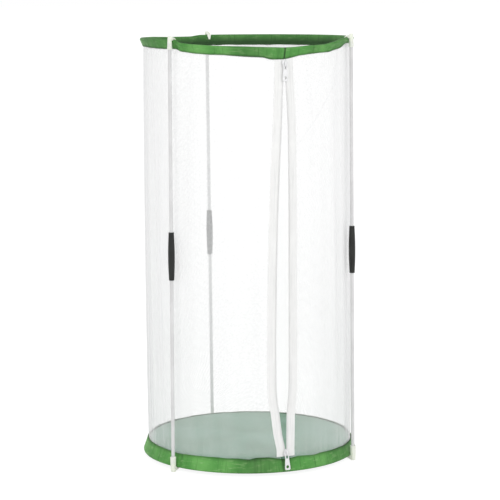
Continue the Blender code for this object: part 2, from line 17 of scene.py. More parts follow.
import bmesh
import bpy
import numpy as np
from mathutils import Matrix, Vector

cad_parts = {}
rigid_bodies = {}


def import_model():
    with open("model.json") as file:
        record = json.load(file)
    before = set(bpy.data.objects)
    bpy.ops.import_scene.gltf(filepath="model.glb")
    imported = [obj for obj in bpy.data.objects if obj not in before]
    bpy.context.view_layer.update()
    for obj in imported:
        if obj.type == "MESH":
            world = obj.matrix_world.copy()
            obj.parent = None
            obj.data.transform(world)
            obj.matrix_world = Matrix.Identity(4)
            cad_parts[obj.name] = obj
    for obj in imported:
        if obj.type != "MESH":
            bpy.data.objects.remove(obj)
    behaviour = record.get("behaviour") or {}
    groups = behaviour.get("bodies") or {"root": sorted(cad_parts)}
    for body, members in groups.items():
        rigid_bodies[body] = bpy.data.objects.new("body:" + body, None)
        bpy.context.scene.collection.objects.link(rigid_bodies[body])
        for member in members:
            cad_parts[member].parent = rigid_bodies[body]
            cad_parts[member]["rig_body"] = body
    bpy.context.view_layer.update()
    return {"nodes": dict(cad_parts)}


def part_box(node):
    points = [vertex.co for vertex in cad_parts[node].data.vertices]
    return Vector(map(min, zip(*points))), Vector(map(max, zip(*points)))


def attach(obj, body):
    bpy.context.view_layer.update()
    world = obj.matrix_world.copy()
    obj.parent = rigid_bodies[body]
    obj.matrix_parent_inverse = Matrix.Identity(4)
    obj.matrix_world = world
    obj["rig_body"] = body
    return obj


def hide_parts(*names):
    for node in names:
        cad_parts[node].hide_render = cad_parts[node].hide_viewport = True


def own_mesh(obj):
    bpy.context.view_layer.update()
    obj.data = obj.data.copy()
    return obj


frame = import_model()
nodes = frame["nodes"]

# %% [markdown]
# ## Sizes
#
# These are the CAD's own sizes, repeated here because a soft piece is drawn again from its construction.
# They could be measured from the CAD meshes, but a named size says what it is for, and a reader can change
# it. `FOOT_DROP` is how far the feet reach below the lower ring. An angle is in degrees from the zip,
# positive towards +X.

# %% Rings and net
TOP_RING_RADIUS = 0.1533
BOTTOM_RING_RADIUS = 0.1558
NET_RADIUS = 0.148
TOP = 0.6089
FOOT_DROP = 0.0055
TOP_SEAM = 0.5944
BOTTOM_SEAM = 0.026
HOOP_WIRE_RADIUS = 0.0012
BINDING_THICKNESS = 0.0008
NET_THICKNESS = 0.0005
CLEAR = 0.0003
FOLD_RADIUS = HOOP_WIRE_RADIUS + CLEAR + BINDING_THICKNESS
HEM_TUCK = 0.004
FOLD_TRAVEL = 0.514
RODS = ("front_left", "front_right", "rear")
print(f"the net stands {1000 * (TOP_SEAM - BOTTOM_SEAM):.1f} mm tall and {2000 * NET_RADIUS:.0f} mm across")

# %% [markdown]
# The top ring isn't level. It droops between its two front rods, where the door's weight hangs from it, and
# is drawn up beside the right rod. Each pair below is an angle and a share of the deepest droop, for the
# hoop and for the seam under it. Where the two differ, the band is wider or narrower.

# %% How the top ring sags
RING_SAG = 0.0125
HOOP_SAG_SHARES = (
    (-172, 0), (-166, 0.17), (-150, 0.15), (-135, 0.05), (-110, 0), (-60, 0), (-58.5, 0.3), (-55, 0.38),
    (-50, 0.48), (-41, 0.576), (-33, 0.65), (-21, 0.71), (-11, 0.785), (0, 0.865), (6, 0.83), (15, 0.68),
    (25, 0.65), (32, 0.41), (40, 0.08), (46, 0),
)
SEAM_SAG_SHARES = (
    (-180, 0.1), (-140, 0.1), (-122, 0), (-104, -0.27), (-90, -0.2), (-80, -0.15), (-60.5, -0.12), (-58, 0.1),
    (-54, 0.18), (-50, 0.29), (-43, 0.375), (-36.5, 0.42), (-30, 0.5), (-20.5, 0.65), (-11, 0.74), (-7.8, 0.93),
    (-4.6, 0.99), (-1, 1), (2, 0.91), (5.5, 0.76), (9, 0.59), (13, 0.52), (17, 0.455), (21, 0.36), (29.6, 0.33),
    (35, 0.14), (41, -0.03), (45, -0.3), (48.5, -0.55), (58, -0.55), (68, 0), (85, 0), (105, 0.1), (180, 0.1),
)
print(f"the top ring sags by up to {1000 * RING_SAG:.1f} mm")

# %% [markdown]
# The door stands ajar. Each edge leaves the middle by its own curve, from the lower stop to the upper one,
# so a table of shares of the widest opening draws it better than one arc would.

# %% Zip and door
ZIP_TOP = 0.593778
ZIP_BOTTOM = 0.026691
TAPE_WIDTH = 0.0125
TAPE_INSIDE = 0.14855
COIL_INSIDE = 0.14945
COIL_WIDTH = 0.0018
COIL_THICKNESS = 0.0016
ROW_EDGE = 0.0009
NET_EDGE = 0.0074
OPENING_LEFT = 0.0123
OPENING_RIGHT = 0.0048
LEFT_OPENING_SHARES = (
    (0, 0), (0.012, 0.1), (0.04, 0.35), (0.07, 0.52), (0.1, 0.67), (0.13, 0.86), (0.16, 0.98), (0.24, 1),
    (0.32, 0.98), (0.5, 0.87), (0.66, 0.66), (0.75, 0.49), (0.865, 0.24), (0.96, 0.09), (1, 0),
)
RIGHT_OPENING_SHARES = (
    (0, 0), (0.05, 0.05), (0.09, 0.1), (0.13, 0.45), (0.16, 0.8), (0.25, 0.9), (0.5, 0.95), (0.66, 1),
    (0.75, 0.94), (0.865, 0.82), (0.92, 0.55), (0.96, 0.3), (1, 0),
)
DOOR_LOW = 0.036891
DOOR_HIGH = 0.571478
print(f"the door opens {1000 * OPENING_LEFT:.1f} mm to the left and {1000 * OPENING_RIGHT:.1f} mm to the right")

# %% [markdown]
# ## Building helpers
#
# Nearly everything here goes round the cage's axis, so a place is an angle, a distance and a height. A
# `bell` or a `wave` changes such a place smoothly, as bunched or wavy cloth does.


# %% Places round the cage
def around(degrees, radius, z):
    """A point at an angle from the zip, a distance from the cage's axis and a height."""
    turn = math.radians(degrees)
    return Vector((radius * math.sin(turn), -radius * math.cos(turn), z))


def wave(degrees, waves):
    """A smooth wobble that closes on itself round the cage: (cycles, phase, share) for each wave."""
    turn = math.radians(degrees)
    return sum(share * math.sin(cycles * turn + phase) for cycles, phase, share in waves)


def away(degrees, place):
    """Degrees from one angle to another, the short way round."""
    return (degrees - place + 180) % 360 - 180


def bell(distance, half_width):
    return math.exp(-((distance / half_width) ** 2))


def ramp(table, value):
    """A value read from a table of pairs, straight between them and flat beyond its ends."""
    xs, ys = zip(*table)
    return float(np.interp(value, xs, ys))


print("the zip's line stands at", tuple(round(c, 4) for c in around(0, NET_RADIUS, 0)))


# %% [markdown]
# Most pieces are lofts: rows of points joined by quads. Blender's curves or its screw modifier could sweep
# a section too, but only a loft lets the section change on its way round. Each loft carries a `cloth` map in
# metres along and across the fabric, so that weave and net keep their real scale wherever the surface goes.

# %% Pieces and lofts
def piece(name, mesh, material, body):
    """Makes an object that rides on a CAD body."""
    obj = bpy.data.objects.new(name, mesh)
    bpy.context.scene.collection.objects.link(obj)
    mesh.materials.append(material)
    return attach(obj, body)


def loft(name, rows, cloth, ring=False, tube=False):
    """Quads between rows of points. ring closes each row on itself, tube closes the last row on the first.
    cloth(i, j) is the place on the fabric of point j of row i; past the end it carries on, not back to 0."""
    count = len(rows[0])
    verts = [p for row in rows for p in row]
    faces = []
    maps = []
    for i in range(len(rows) if tube else len(rows) - 1):
        for j in range(count if ring else count - 1):
            corners = ((i, j), (i, j + 1), (i + 1, j + 1), (i + 1, j))
            faces.append([(a % len(rows)) * count + b % count for a, b in corners])
            maps += [cloth(a, b) for a, b in corners]
    mesh = bpy.data.meshes.new(name)
    mesh.from_pydata(verts, [], faces)
    layer = mesh.uv_layers.new(name="cloth")
    layer.data.foreach_set("uv", [c for pair in maps for c in pair])
    mesh.shade_smooth()
    return mesh


print("made the helpers piece and loft")


# %% [markdown]
# Three small helpers finish a mesh. One stores a number a point for a material to read, one puts a face over
# an open end, and one makes a modifier's work the mesh's own. A modifier could also stay live, but the piece
# that is kept is a plain mesh.

# %% Finishing a mesh
def shade_layer(mesh, values):
    """Stores one number a point, 0 to 1, that a material reads as its local shade."""
    layer = mesh.attributes.new("shade", "FLOAT", "POINT")
    layer.data.foreach_set("value", values)


def close_rings(mesh, rings, flat_map=False):
    """Puts a face over each ring of points. flat_map gives the new faces their place in x and y."""
    closing = bmesh.new()
    closing.from_mesh(mesh)
    closing.verts.ensure_lookup_table()
    layer = closing.loops.layers.uv["cloth"]
    for ring in rings:
        face = closing.faces.new([closing.verts[j] for j in ring])
        if flat_map:
            for loop in face.loops:
                loop[layer].uv = loop.vert.co.xy
    bmesh.ops.recalc_face_normals(closing, faces=closing.faces)
    closing.to_mesh(mesh)
    closing.free()


def apply_modifiers(obj):
    """Replaces the object's mesh by what its modifiers make of it."""
    graph = bpy.context.evaluated_depsgraph_get()
    made = bpy.data.meshes.new_from_object(obj.evaluated_get(graph))
    obj.modifiers.clear()
    obj.data = made


print("made the helpers shade_layer, close_rings and apply_modifiers")


# %% [markdown]
# ## Material helpers
#
# A material in Blender is a tree of nodes. Clicking them together by hand is quick for one material, but
# here a dozen share the same few moves, so small functions add a node, feed its inputs and hand back its
# output.

# %% Adding nodes to a material
def feed(tree, socket, value):
    """Links a socket's value, or sets it where it is constant."""
    if isinstance(value, bpy.types.NodeSocket):
        tree.links.new(value, socket)
    else:
        socket.default_value = value


def node(tree, kind, values=(), **settings):
    """Adds a node with its settings, and feeds its inputs by index or name."""
    made = tree.nodes.new(kind)
    for key, value in settings.items():
        setattr(made, key, value)
    pairs = values.items() if isinstance(values, dict) else enumerate(values)
    for key, value in pairs:
        feed(tree, made.inputs[key], value)
    return made


def new_material(name):
    material = bpy.data.materials.new(name)
    material.use_nodes = True
    tree = material.node_tree
    return material, tree, tree.nodes["Principled BSDF"]


def settle(shader, values):
    """Sets plain values on the shader's own sockets."""
    for key, value in values.items():
        shader.inputs[key].default_value = value


print("made the helpers feed, node, new_material and settle")


# %% [markdown]
# The finishes below are all made of a few moves: a sum, a blend of two colours, a value brought to another
# range, noise, a stretched or turned map, and a bump. Each has a short function, so that a finish reads as
# what it does rather than as its links.

# %% The moves of a finish
def calc(tree, operation, *values):
    return node(tree, "ShaderNodeMath", values, operation=operation).outputs[0]


def blend_colour(tree, factor, a, b):
    """Colour a where the factor is 0, and b where it is 1."""
    made = node(tree, "ShaderNodeMix", data_type="RGBA")
    feed(tree, made.inputs["Factor"], factor)
    feed(tree, made.inputs[6], a)
    feed(tree, made.inputs[7], b)
    return made.outputs[2]


def remap(tree, value, low, high, to_low=0.0, to_high=1.0):
    """Brings a value from one range smoothly to another."""
    values = (value, low, high, to_low, to_high)
    return node(tree, "ShaderNodeMapRange", values, interpolation_type="SMOOTHSTEP").outputs[0]


def noise(tree, vector, scale, detail=2.0, roughness=0.5):
    values = {"Vector": vector, "Scale": scale, "Detail": detail, "Roughness": roughness}
    return node(tree, "ShaderNodeTexNoise", values).outputs["Fac"]


def stretched(tree, vector, scale):
    """The same coordinates, stretched by an amount on each axis."""
    return node(tree, "ShaderNodeMapping", {"Vector": vector, "Scale": scale}).outputs[0]


def cloth_map(tree):
    return node(tree, "ShaderNodeUVMap", uv_map="cloth").outputs[0]


def object_map(tree):
    return node(tree, "ShaderNodeTexCoord").outputs["Object"]


def bump(tree, height, distance, strength=1.0):
    values = {"Height": height, "Distance": distance, "Strength": strength}
    return node(tree, "ShaderNodeBump", values).outputs[0]


print("made the helpers calc, blend_colour, remap, noise, stretched, cloth_map, object_map and bump")


# %% [markdown]
# A node group is a small tree with named inputs and outputs, which several materials can use. Its sockets
# are made with `interface.new_socket`, and its two end nodes stand for them inside.

# %% Making and placing a node group
def new_group(name, inputs, outputs):
    """A node group with float or vector sockets, and its two end nodes."""
    group = bpy.data.node_groups.new(name, "ShaderNodeTree")
    for way, sockets in (("INPUT", inputs), ("OUTPUT", outputs)):
        for label, kind in sockets:
            group.interface.new_socket(label, in_out=way, socket_type=f"NodeSocket{kind}")
    return group, group.nodes.new("NodeGroupInput"), group.nodes.new("NodeGroupOutput")


def use_group(tree, group, **values):
    made = node(tree, "ShaderNodeGroup", node_tree=group)
    for key, value in values.items():
        feed(tree, made.inputs[key], value)
    return made


print("made the helpers new_group and use_group")


# %% [markdown]
# Two patterns are shared. `weave` is the over-and-under of a plain cloth. `knit` is the fine net: rows of
# round holes, each row set half a hole along from the last. A picture of real cloth could be wrapped on
# instead, but it would repeat and blur, while sines and distances stay sharp at any size. The net's rows stand
# closer than its columns, by `KNIT_ROW`, and a hole's edge is soft between the two shares of `HOLE_EDGE`.

# %% The weave and knit groups
KNIT_ROW = 0.88
HOLE_EDGE = (0.30, 0.44)


def make_weave():
    group, start, end = new_group("weave", (("Vector", "Vector"), ("Pitch", "Float")), (("Height", "Float"),))
    parts = node(group, "ShaderNodeSeparateXYZ", (start.outputs["Vector"],))
    turns = calc(group, "DIVIDE", 2 * math.pi, start.outputs["Pitch"])
    along = calc(group, "SINE", calc(group, "MULTIPLY", parts.outputs[0], turns))
    across = calc(group, "SINE", calc(group, "MULTIPLY", parts.outputs[1], turns))
    crossing = calc(group, "MULTIPLY", along, across)
    feed(group, end.inputs["Height"], calc(group, "MULTIPLY_ADD", crossing, 0.5, 0.5))
    return group


def make_knit():
    group, start, end = new_group("knit", (("Vector", "Vector"), ("Pitch", "Float")), (("Thread", "Float"),))
    parts = node(group, "ShaderNodeSeparateXYZ", (start.outputs["Vector"],))
    column = calc(group, "DIVIDE", parts.outputs[0], start.outputs["Pitch"])
    row = calc(group, "DIVIDE", parts.outputs[1], calc(group, "MULTIPLY", start.outputs["Pitch"], KNIT_ROW))
    odd = calc(group, "MULTIPLY", calc(group, "FLOORED_MODULO", calc(group, "FLOOR", row), 2.0), 0.5)
    x = calc(group, "SUBTRACT", calc(group, "FRACT", calc(group, "ADD", column, odd)), 0.5)
    y = calc(group, "MULTIPLY", calc(group, "SUBTRACT", calc(group, "FRACT", row), 0.5), KNIT_ROW)
    reach = calc(group, "SQRT", calc(group, "ADD", calc(group, "MULTIPLY", x, x), calc(group, "MULTIPLY", y, y)))
    feed(group, end.inputs["Thread"], remap(group, reach, *HOLE_EDGE))
    return group


WEAVE = make_weave()
KNIT = make_knit()
print("node groups:", ", ".join(sorted(group.name for group in bpy.data.node_groups)))


# %% [markdown]
# ## Cloth finishes
#
# The wall of net hangs in long soft gathers, streaked by denser net and by painted shade, and one crease runs
# down it slantwise, greyed by painted shade too, as is the net towards the bottom. A plain noise would give
# round patches instead, so it is stretched until it makes streaks. The crease is a line on the cloth's own
# map, between the two ends that `NET_CREASE` gives.

# %% How the net hangs
NET_WHITE = (0.965, 0.967, 0.97, 1)
# The grey below paints shade into the net: towards the bottom, in its gathers and along its crease.
NET_PAINTED_SHADE = (0.80, 0.805, 0.81, 1)
GATHER_STRETCH = (34, 1.4, 1)
NET_CREASE = ((0.1094, 0.5756), (0.0121, 0.4678))
CREASE_WIDTH = 0.0018
CREASE_END = 0.01


def hung(tree, place, cover):
    """The colour and cover of net that hangs: streaked where it gathers, creased, thinner low down, and greyed by
    painted shade in its gathers, along its crease and towards the bottom.
    """
    gathers = noise(tree, stretched(tree, place, GATHER_STRETCH), 1.0, 3.0, 0.6)
    cover = calc(tree, "MULTIPLY", cover, remap(tree, gathers, 0.3, 0.7, 0.88, 1.15))
    along, height, _ = node(tree, "ShaderNodeSeparateXYZ", (place,)).outputs
    cover = calc(tree, "MULTIPLY", cover, remap(tree, height, 0.06, 0.18, 0.78, 1.0))
    # Painted shade: the net greys towards the bottom.
    colour = blend_colour(tree, remap(tree, height, 0.05, 0.5, 0.3, 0.0), NET_WHITE, NET_PAINTED_SHADE)
    # Painted shade in the streaks of the gathers.
    colour = blend_colour(tree, remap(tree, gathers, 0.45, 0.72, 0.0, 0.35), colour, NET_PAINTED_SHADE)
    (top_along, top_height), (foot_along, foot_height) = NET_CREASE
    slope = (top_along - foot_along) / (top_height - foot_height)
    line = calc(tree, "MULTIPLY_ADD", height, slope, top_along - slope * top_height)
    off = calc(tree, "ABSOLUTE", calc(tree, "SUBTRACT", along, line))
    above_foot = remap(tree, height, foot_height - CREASE_END, foot_height)
    crease = calc(tree, "MULTIPLY", remap(tree, off, 0.0, CREASE_WIDTH, 1.0, 0.0), above_foot)
    # Painted shade along the crease; the doubled net there also covers more.
    colour = blend_colour(tree, calc(tree, "MULTIPLY", crease, 0.6), colour, NET_PAINTED_SHADE)
    return colour, calc(tree, "MULTIPLY_ADD", crease, 0.15, cover)


print(f"the crease comes down {1000 * (NET_CREASE[0][1] - NET_CREASE[1][1]):.0f} mm")


# %% [markdown]
# The net lets light through its holes. At under a millimetre each they are too small to cut into the mesh,
# so the material's alpha has them. Seen at a slant, more thread lies in the way, so the cover rises with the
# angle, as it does on real net, and gives the cylinder its whiter sides.

# %% The net
NET_PITCH = 0.0009
LEAST_FACING = 0.12


def net_material(name, cover_thread, cover_hole, hangs=False):
    """White net: its thread and its holes each stop a share of the light that goes straight through."""
    material, tree, shader = new_material(name)
    place = cloth_map(tree)
    thread = use_group(tree, KNIT, Vector=place, Pitch=NET_PITCH).outputs["Thread"]
    cover = calc(tree, "MULTIPLY_ADD", thread, cover_thread - cover_hole, cover_hole)
    colour = NET_WHITE
    if hangs:
        colour, cover = hung(tree, place, cover)
    feed(tree, shader.inputs["Base Color"], colour)
    facing = node(tree, "ShaderNodeLayerWeight", {"Blend": 0.5}).outputs["Facing"]
    straight = calc(tree, "MAXIMUM", calc(tree, "SUBTRACT", 1.0, facing), LEAST_FACING)
    clear = calc(tree, "POWER", calc(tree, "SUBTRACT", 1.0, cover), calc(tree, "DIVIDE", 1.0, straight))
    feed(tree, shader.inputs["Alpha"], calc(tree, "SUBTRACT", 1.0, clear))
    feed(tree, shader.inputs["Normal"], bump(tree, thread, 0.00006, 0.3))
    settle(shader, {"Roughness": 0.7, "Sheen Weight": 0.25, "Specular IOR Level": 0.2})
    return material


NET = net_material("fine_net", 0.42, 0.13, hangs=True)
TOP_NET = net_material("top_net", 0.40, 0.12)
print("net materials:", NET.name, "and", TOP_NET.name)


# %% [markdown]
# The binding is a woven green tape. Painted highlights lighten it in slanting streaks, and painted shade
# darkens it in fine puckers, along the hoop, at the seam, in its creases, along a few stretches and on the
# inside by the seam. The streaks are stretched noise. All the painted shade but the puckers' comes from a
# `shade` number stored on the mesh, because only the shape knows where its hoop and seam are.

# %% The green binding
BINDING_PITCH = 0.0009
BINDING_DARK = (0.085, 0.305, 0.063, 1)
BINDING_LIGHT = (0.163, 0.445, 0.113, 1)
# Painted highlight for the slanting streaks, and painted shade for the puckers' fine dark lines.
BINDING_PAINTED_HIGHLIGHT = (0.27, 0.52, 0.19, 1)
BINDING_PUCKER_SHADE = (0.04, 0.13, 0.03, 1)
BINDING_GAP = (0.05, 0.17, 0.035, 1)
BINDING_SHADOW = (0.018, 0.05, 0.016, 1)
STREAK_SLANT = 0.5
STREAK_STRETCH = (60, 320, 1)
PUCKER_SHADE_STRETCH = (420, 24, 1)


def binding_material(name):
    """A woven green tape with painted highlights in slanting streaks, painted shade in its puckers, and the painted
    shade that its mesh stores.
    """
    material, tree, shader = new_material(name)
    place = cloth_map(tree)
    weave = use_group(tree, WEAVE, Vector=place, Pitch=BINDING_PITCH).outputs["Height"]
    slant = {"Vector": place, "Rotation": (0, 0, STREAK_SLANT), "Scale": STREAK_STRETCH}
    streaks = noise(tree, node(tree, "ShaderNodeMapping", slant).outputs[0], 1.0, 3.0, 0.6)
    patches = noise(tree, place, 28.0, 2.0, 0.5)
    pucker_shade = noise(tree, stretched(tree, place, PUCKER_SHADE_STRETCH), 1.0, 3.0, 0.65)
    shade = node(tree, "ShaderNodeAttribute", attribute_name="shade").outputs["Fac"]
    colour = blend_colour(tree, remap(tree, patches, 0.3, 0.7), BINDING_DARK, BINDING_LIGHT)
    # Painted highlights in slanting streaks.
    colour = blend_colour(tree, remap(tree, streaks, 0.52, 0.72, 0.0, 0.8), colour, BINDING_PAINTED_HIGHLIGHT)
    # Painted shade in fine dark pucker lines.
    colour = blend_colour(tree, remap(tree, pucker_shade, 0.54, 0.68, 0.0, 0.65), colour, BINDING_PUCKER_SHADE)
    colour = blend_colour(tree, remap(tree, weave, 0.0, 0.35, 0.3, 0.0), colour, BINDING_GAP)
    colour = blend_colour(tree, shade, colour, BINDING_SHADOW)
    feed(tree, shader.inputs["Base Color"], colour)
    height = calc(tree, "ADD", weave, calc(tree, "MULTIPLY", streaks, 2.5))
    feed(tree, shader.inputs["Normal"], bump(tree, height, 0.00018, 0.6))
    settle(shader, {"Roughness": 0.72, "Specular IOR Level": 0.22})
    settle(shader, {"Sheen Weight": 0.12, "Sheen Roughness": 0.4})
    return material


BINDING = binding_material("green_binding")
print("the binding has", len(BINDING.node_tree.nodes), "nodes")


# %% [markdown]
# The sewing thread is a darker green, with the slant stripes of its twist. A wave texture gives the twist
# for the cost of one node.

# %% The sewing thread
THREAD_DARK = (0.05, 0.17, 0.04, 1)
THREAD_LIGHT = (0.09, 0.26, 0.065, 1)


def thread_material():
    material, tree, shader = new_material("green_thread")
    twist = node(tree, "ShaderNodeTexWave", {"Vector": object_map(tree), "Scale": 900.0, "Distortion": 1.0})
    colour = blend_colour(tree, twist.outputs["Fac"], THREAD_DARK, THREAD_LIGHT)
    feed(tree, shader.inputs["Base Color"], colour)
    settle(shader, {"Roughness": 0.6})
    return material


THREAD = thread_material()
print("made", THREAD.name)


# %% [markdown]
# The floor is a closely woven grey-green cloth. Two greens are mixed in slow patches, so that it isn't one
# flat colour, and the weave darkens the places between its threads.

# %% The floor cloth
FLOOR_PITCH = 0.0008
FLOOR_DARK = (0.150, 0.315, 0.200, 1)
FLOOR_LIGHT = (0.218, 0.41, 0.303, 1)
FLOOR_GAP = (0.09, 0.20, 0.135, 1)


def floor_material():
    """A closely woven grey-green cloth, mottled in slow patches."""
    material, tree, shader = new_material("floor_cloth")
    place = cloth_map(tree)
    weave = use_group(tree, WEAVE, Vector=place, Pitch=FLOOR_PITCH).outputs["Height"]
    patches = noise(tree, place, 14.0, 3.0, 0.55)
    colour = blend_colour(tree, remap(tree, patches, 0.3, 0.7), FLOOR_DARK, FLOOR_LIGHT)
    colour = blend_colour(tree, remap(tree, weave, 0.0, 0.4, 0.22, 0.0), colour, FLOOR_GAP)
    feed(tree, shader.inputs["Base Color"], colour)
    feed(tree, shader.inputs["Normal"], bump(tree, weave, 0.00012, 0.5))
    settle(shader, {"Roughness": 0.75, "Sheen Weight": 0.25})
    return material


FLOOR_CLOTH = floor_material()
print("made", FLOOR_CLOTH.name)


# %% [markdown]
# The zip's tape is woven with slanting ribs, a pitch apart, and has long grey threads in it. A sine
# across a turned map makes the ribs, and noise drawn out to needles makes the threads.

# %% The zip tape
RIB_PITCH = 0.0009
RIB_SLANT = 0.8
TAPE_DARK = (0.85, 0.85, 0.84, 1)
TAPE_LIGHT = (0.93, 0.93, 0.92, 1)
TAPE_THREAD = (0.70, 0.71, 0.70, 1)
TAPE_GAP = (0.66, 0.66, 0.66, 1)


def tape_material():
    """The zip's woven tape: fine slanting ribs and long grey threads."""
    material, tree, shader = new_material("zip_tape")
    place = cloth_map(tree)
    turned = node(tree, "ShaderNodeMapping", {"Vector": place, "Rotation": (0, 0, RIB_SLANT)}).outputs[0]
    along = node(tree, "ShaderNodeSeparateXYZ", (turned,)).outputs[0]
    ribs = calc(tree, "SINE", calc(tree, "MULTIPLY", along, 2 * math.pi / RIB_PITCH))
    patches = noise(tree, place, 60.0, 2.0, 0.5)
    threads = noise(tree, stretched(tree, place, (14, 900, 1)), 1.0, 3.0, 0.6)
    colour = blend_colour(tree, patches, TAPE_DARK, TAPE_LIGHT)
    colour = blend_colour(tree, remap(tree, threads, 0.45, 0.7, 0.0, 0.6), colour, TAPE_THREAD)
    colour = blend_colour(tree, remap(tree, ribs, -1.0, 0.0, 0.16, 0.0), colour, TAPE_GAP)
    feed(tree, shader.inputs["Base Color"], colour)
    feed(tree, shader.inputs["Normal"], bump(tree, ribs, 0.00008, 0.5))
    settle(shader, {"Roughness": 0.65, "Sheen Weight": 0.2})
    return material


TAPE = tape_material()
print("made", TAPE.name)


# %% [markdown]
# ## Hard finishes
#
# Rods, caps, ferrules, coils and sliders are all moulded or coated, and differ in colour, gloss and grain.
# One function makes them all. The caps also let a little light into themselves, as milky plastic does.

# %% Moulded and coated finishes
MILKY_REACH = (0.003, 0.003, 0.0025)


def plastic_material(name, dark, light, roughness, grain=400.0, depth=0.00003, soft=0.0, shine=0.5):
    """A moulded or coated surface: a slightly mottled colour, a fine grain and, where asked, a soft glow."""
    material, tree, shader = new_material(name)
    place = object_map(tree)
    patches = noise(tree, place, 35.0, 3.0, 0.6)
    fine = noise(tree, place, grain, 2.0, 0.5)
    colour = blend_colour(tree, remap(tree, patches, 0.3, 0.7), (*dark, 1), (*light, 1))
    feed(tree, shader.inputs["Base Color"], colour)
    feed(tree, shader.inputs["Roughness"], remap(tree, fine, 0.3, 0.7, roughness * 0.85, roughness * 1.15))
    feed(tree, shader.inputs["Normal"], bump(tree, fine, depth, 0.5))
    settle(shader, {"Specular IOR Level": shine})
    if soft:
        settle(shader, {"Subsurface Weight": soft, "Subsurface Radius": MILKY_REACH, "Subsurface Scale": 1.0})
    return material


ROD = plastic_material("rod_coating", (0.64, 0.64, 0.64), (0.72, 0.72, 0.72), 0.32)
CAP = plastic_material("cap_plastic", (0.80, 0.83, 0.73), (0.86, 0.89, 0.80), 0.42, soft=0.3)
FERRULE = plastic_material(
    "ferrule_plastic", (0.012, 0.013, 0.012), (0.022, 0.024, 0.022), 0.42, grain=900.0, depth=0.00006, shine=0.3
)
COIL = plastic_material("coil_nylon", (0.80, 0.80, 0.80), (0.88, 0.88, 0.88), 0.4)
SLIDER = plastic_material("slider_lacquer", (0.78, 0.78, 0.79), (0.86, 0.86, 0.87), 0.3)
STEEL = plastic_material("hoop_wire", (0.42, 0.42, 0.43), (0.52, 0.52, 0.53), 0.35)
settle(STEEL.node_tree.nodes["Principled BSDF"], {"Metallic": 1.0})
print("hard finishes:", ", ".join(m.name for m in (ROD, CAP, FERRULE, COIL, SLIDER, STEEL)))


# %% [markdown]
# ## The rings
#
# A hoop is a spring wire. Its sag tables have corners, and a wire has none, so each table becomes a fine
# line that a short bell-shaped average rounds off. A spline through the same points would overshoot where
# they are close together.

# %% The sag as smooth lines
SAG_STEPS = 1440
ROUNDING_STEPS = 3.5
ROUNDING_REACH = 8
sag_places = np.arange(SAG_STEPS) * 360 / SAG_STEPS - 180
bell_weights = np.exp(-((np.arange(-ROUNDING_REACH, ROUNDING_REACH + 1) / ROUNDING_STEPS) ** 2))


def softened(table):
    """A table of sag shares as a fine line with its corners rounded off."""
    line = np.interp(sag_places, *zip(*table), left=0, right=0)
    return np.convolve(line, bell_weights / bell_weights.sum(), "same")


HOOP_LINE = softened(HOOP_SAG_SHARES)
SEAM_LINE = softened(SEAM_SAG_SHARES)


def sag(degrees, line=SEAM_LINE):
    """How far the top ring's seam, or its hoop, droops at an angle."""
    return RING_SAG * float(np.interp(away(degrees, 0), sag_places, line))


print(f"at the zip the hoop sags {1000 * sag(0, HOOP_LINE):.1f} mm and the seam {1000 * sag(0):.1f} mm")


# %% [markdown]
# The binding is one tape folded over the hoop. Its two leaves run from the hoop in to the seam, where they
# hold the net between them. `Ring` keeps where the hoop and the seam stand in a cut through the cage's
# axis, so that wire, tape, stitches and net all start from the same two points.

# %% A ring in section
class Ring:
    """A hoop with its binding in the plane through the cage's axis, as (distance from the axis, height)."""

    def __init__(self, radius, edge, seam, sags=False):
        out = 1 if edge > seam else -1
        self.radius = radius
        self.edge = edge
        self.sags = sags
        self.hoop = Vector((radius - FOLD_RADIUS, edge - out * FOLD_RADIUS))
        self.seam = Vector((NET_RADIUS, seam))
        self.along = (self.hoop - self.seam).normalized()
        self.across = Vector((self.along.y, -self.along.x)) * out
        self.leaf_outer = NET_THICKNESS / 2 + CLEAR + BINDING_THICKNESS
        self.length = (self.hoop - self.seam).length

    def at(self, degrees):
        """The ring's section at an angle, with its hoop and seam where they sag to."""
        if not self.sags:
            return self
        return Ring(self.radius, self.edge - sag(degrees, HOOP_LINE), self.seam.y - sag(degrees))


TOP_RING = Ring(TOP_RING_RADIUS, TOP, TOP_SEAM, sags=True)
BOTTOM_RING = Ring(BOTTOM_RING_RADIUS, FOOT_DROP, BOTTOM_SEAM)
print(f"the leaves are {1000 * TOP_RING.length:.1f} mm long above and {1000 * BOTTOM_RING.length:.1f} mm below")

# %% [markdown]
# The tape is bunched at its join by the zip and beside the rods' hooks. Each crease is an angle, a
# half-width, a depth and how much painted shade it gets, and each stretch of painted shade an angle, a
# half-width and a share. Both seams wander a little, and the lower one more, where the band was bent by hand.

# %% Where the binding is creased and where shade is painted on it
RING_STATIONS = 480
LEAF_POINTS = 6
ARC_POINTS = 8
FACE_POINTS = 2 * LEAF_POINTS + ARC_POINTS + 1
LEAF_FLARE = 1.6
SEAM_WANDER = 0.0004
PUCKER_DEPTH = 0.00045
SEAM_WAVES = ((11, 0.3, 0.4), (23, 1.9, 0.35), (37, 4.0, 0.25))
PUCKER_WAVES = ((61, 0.4, 0.4), (83, 2.2, 0.35), (127, 5.1, 0.25))
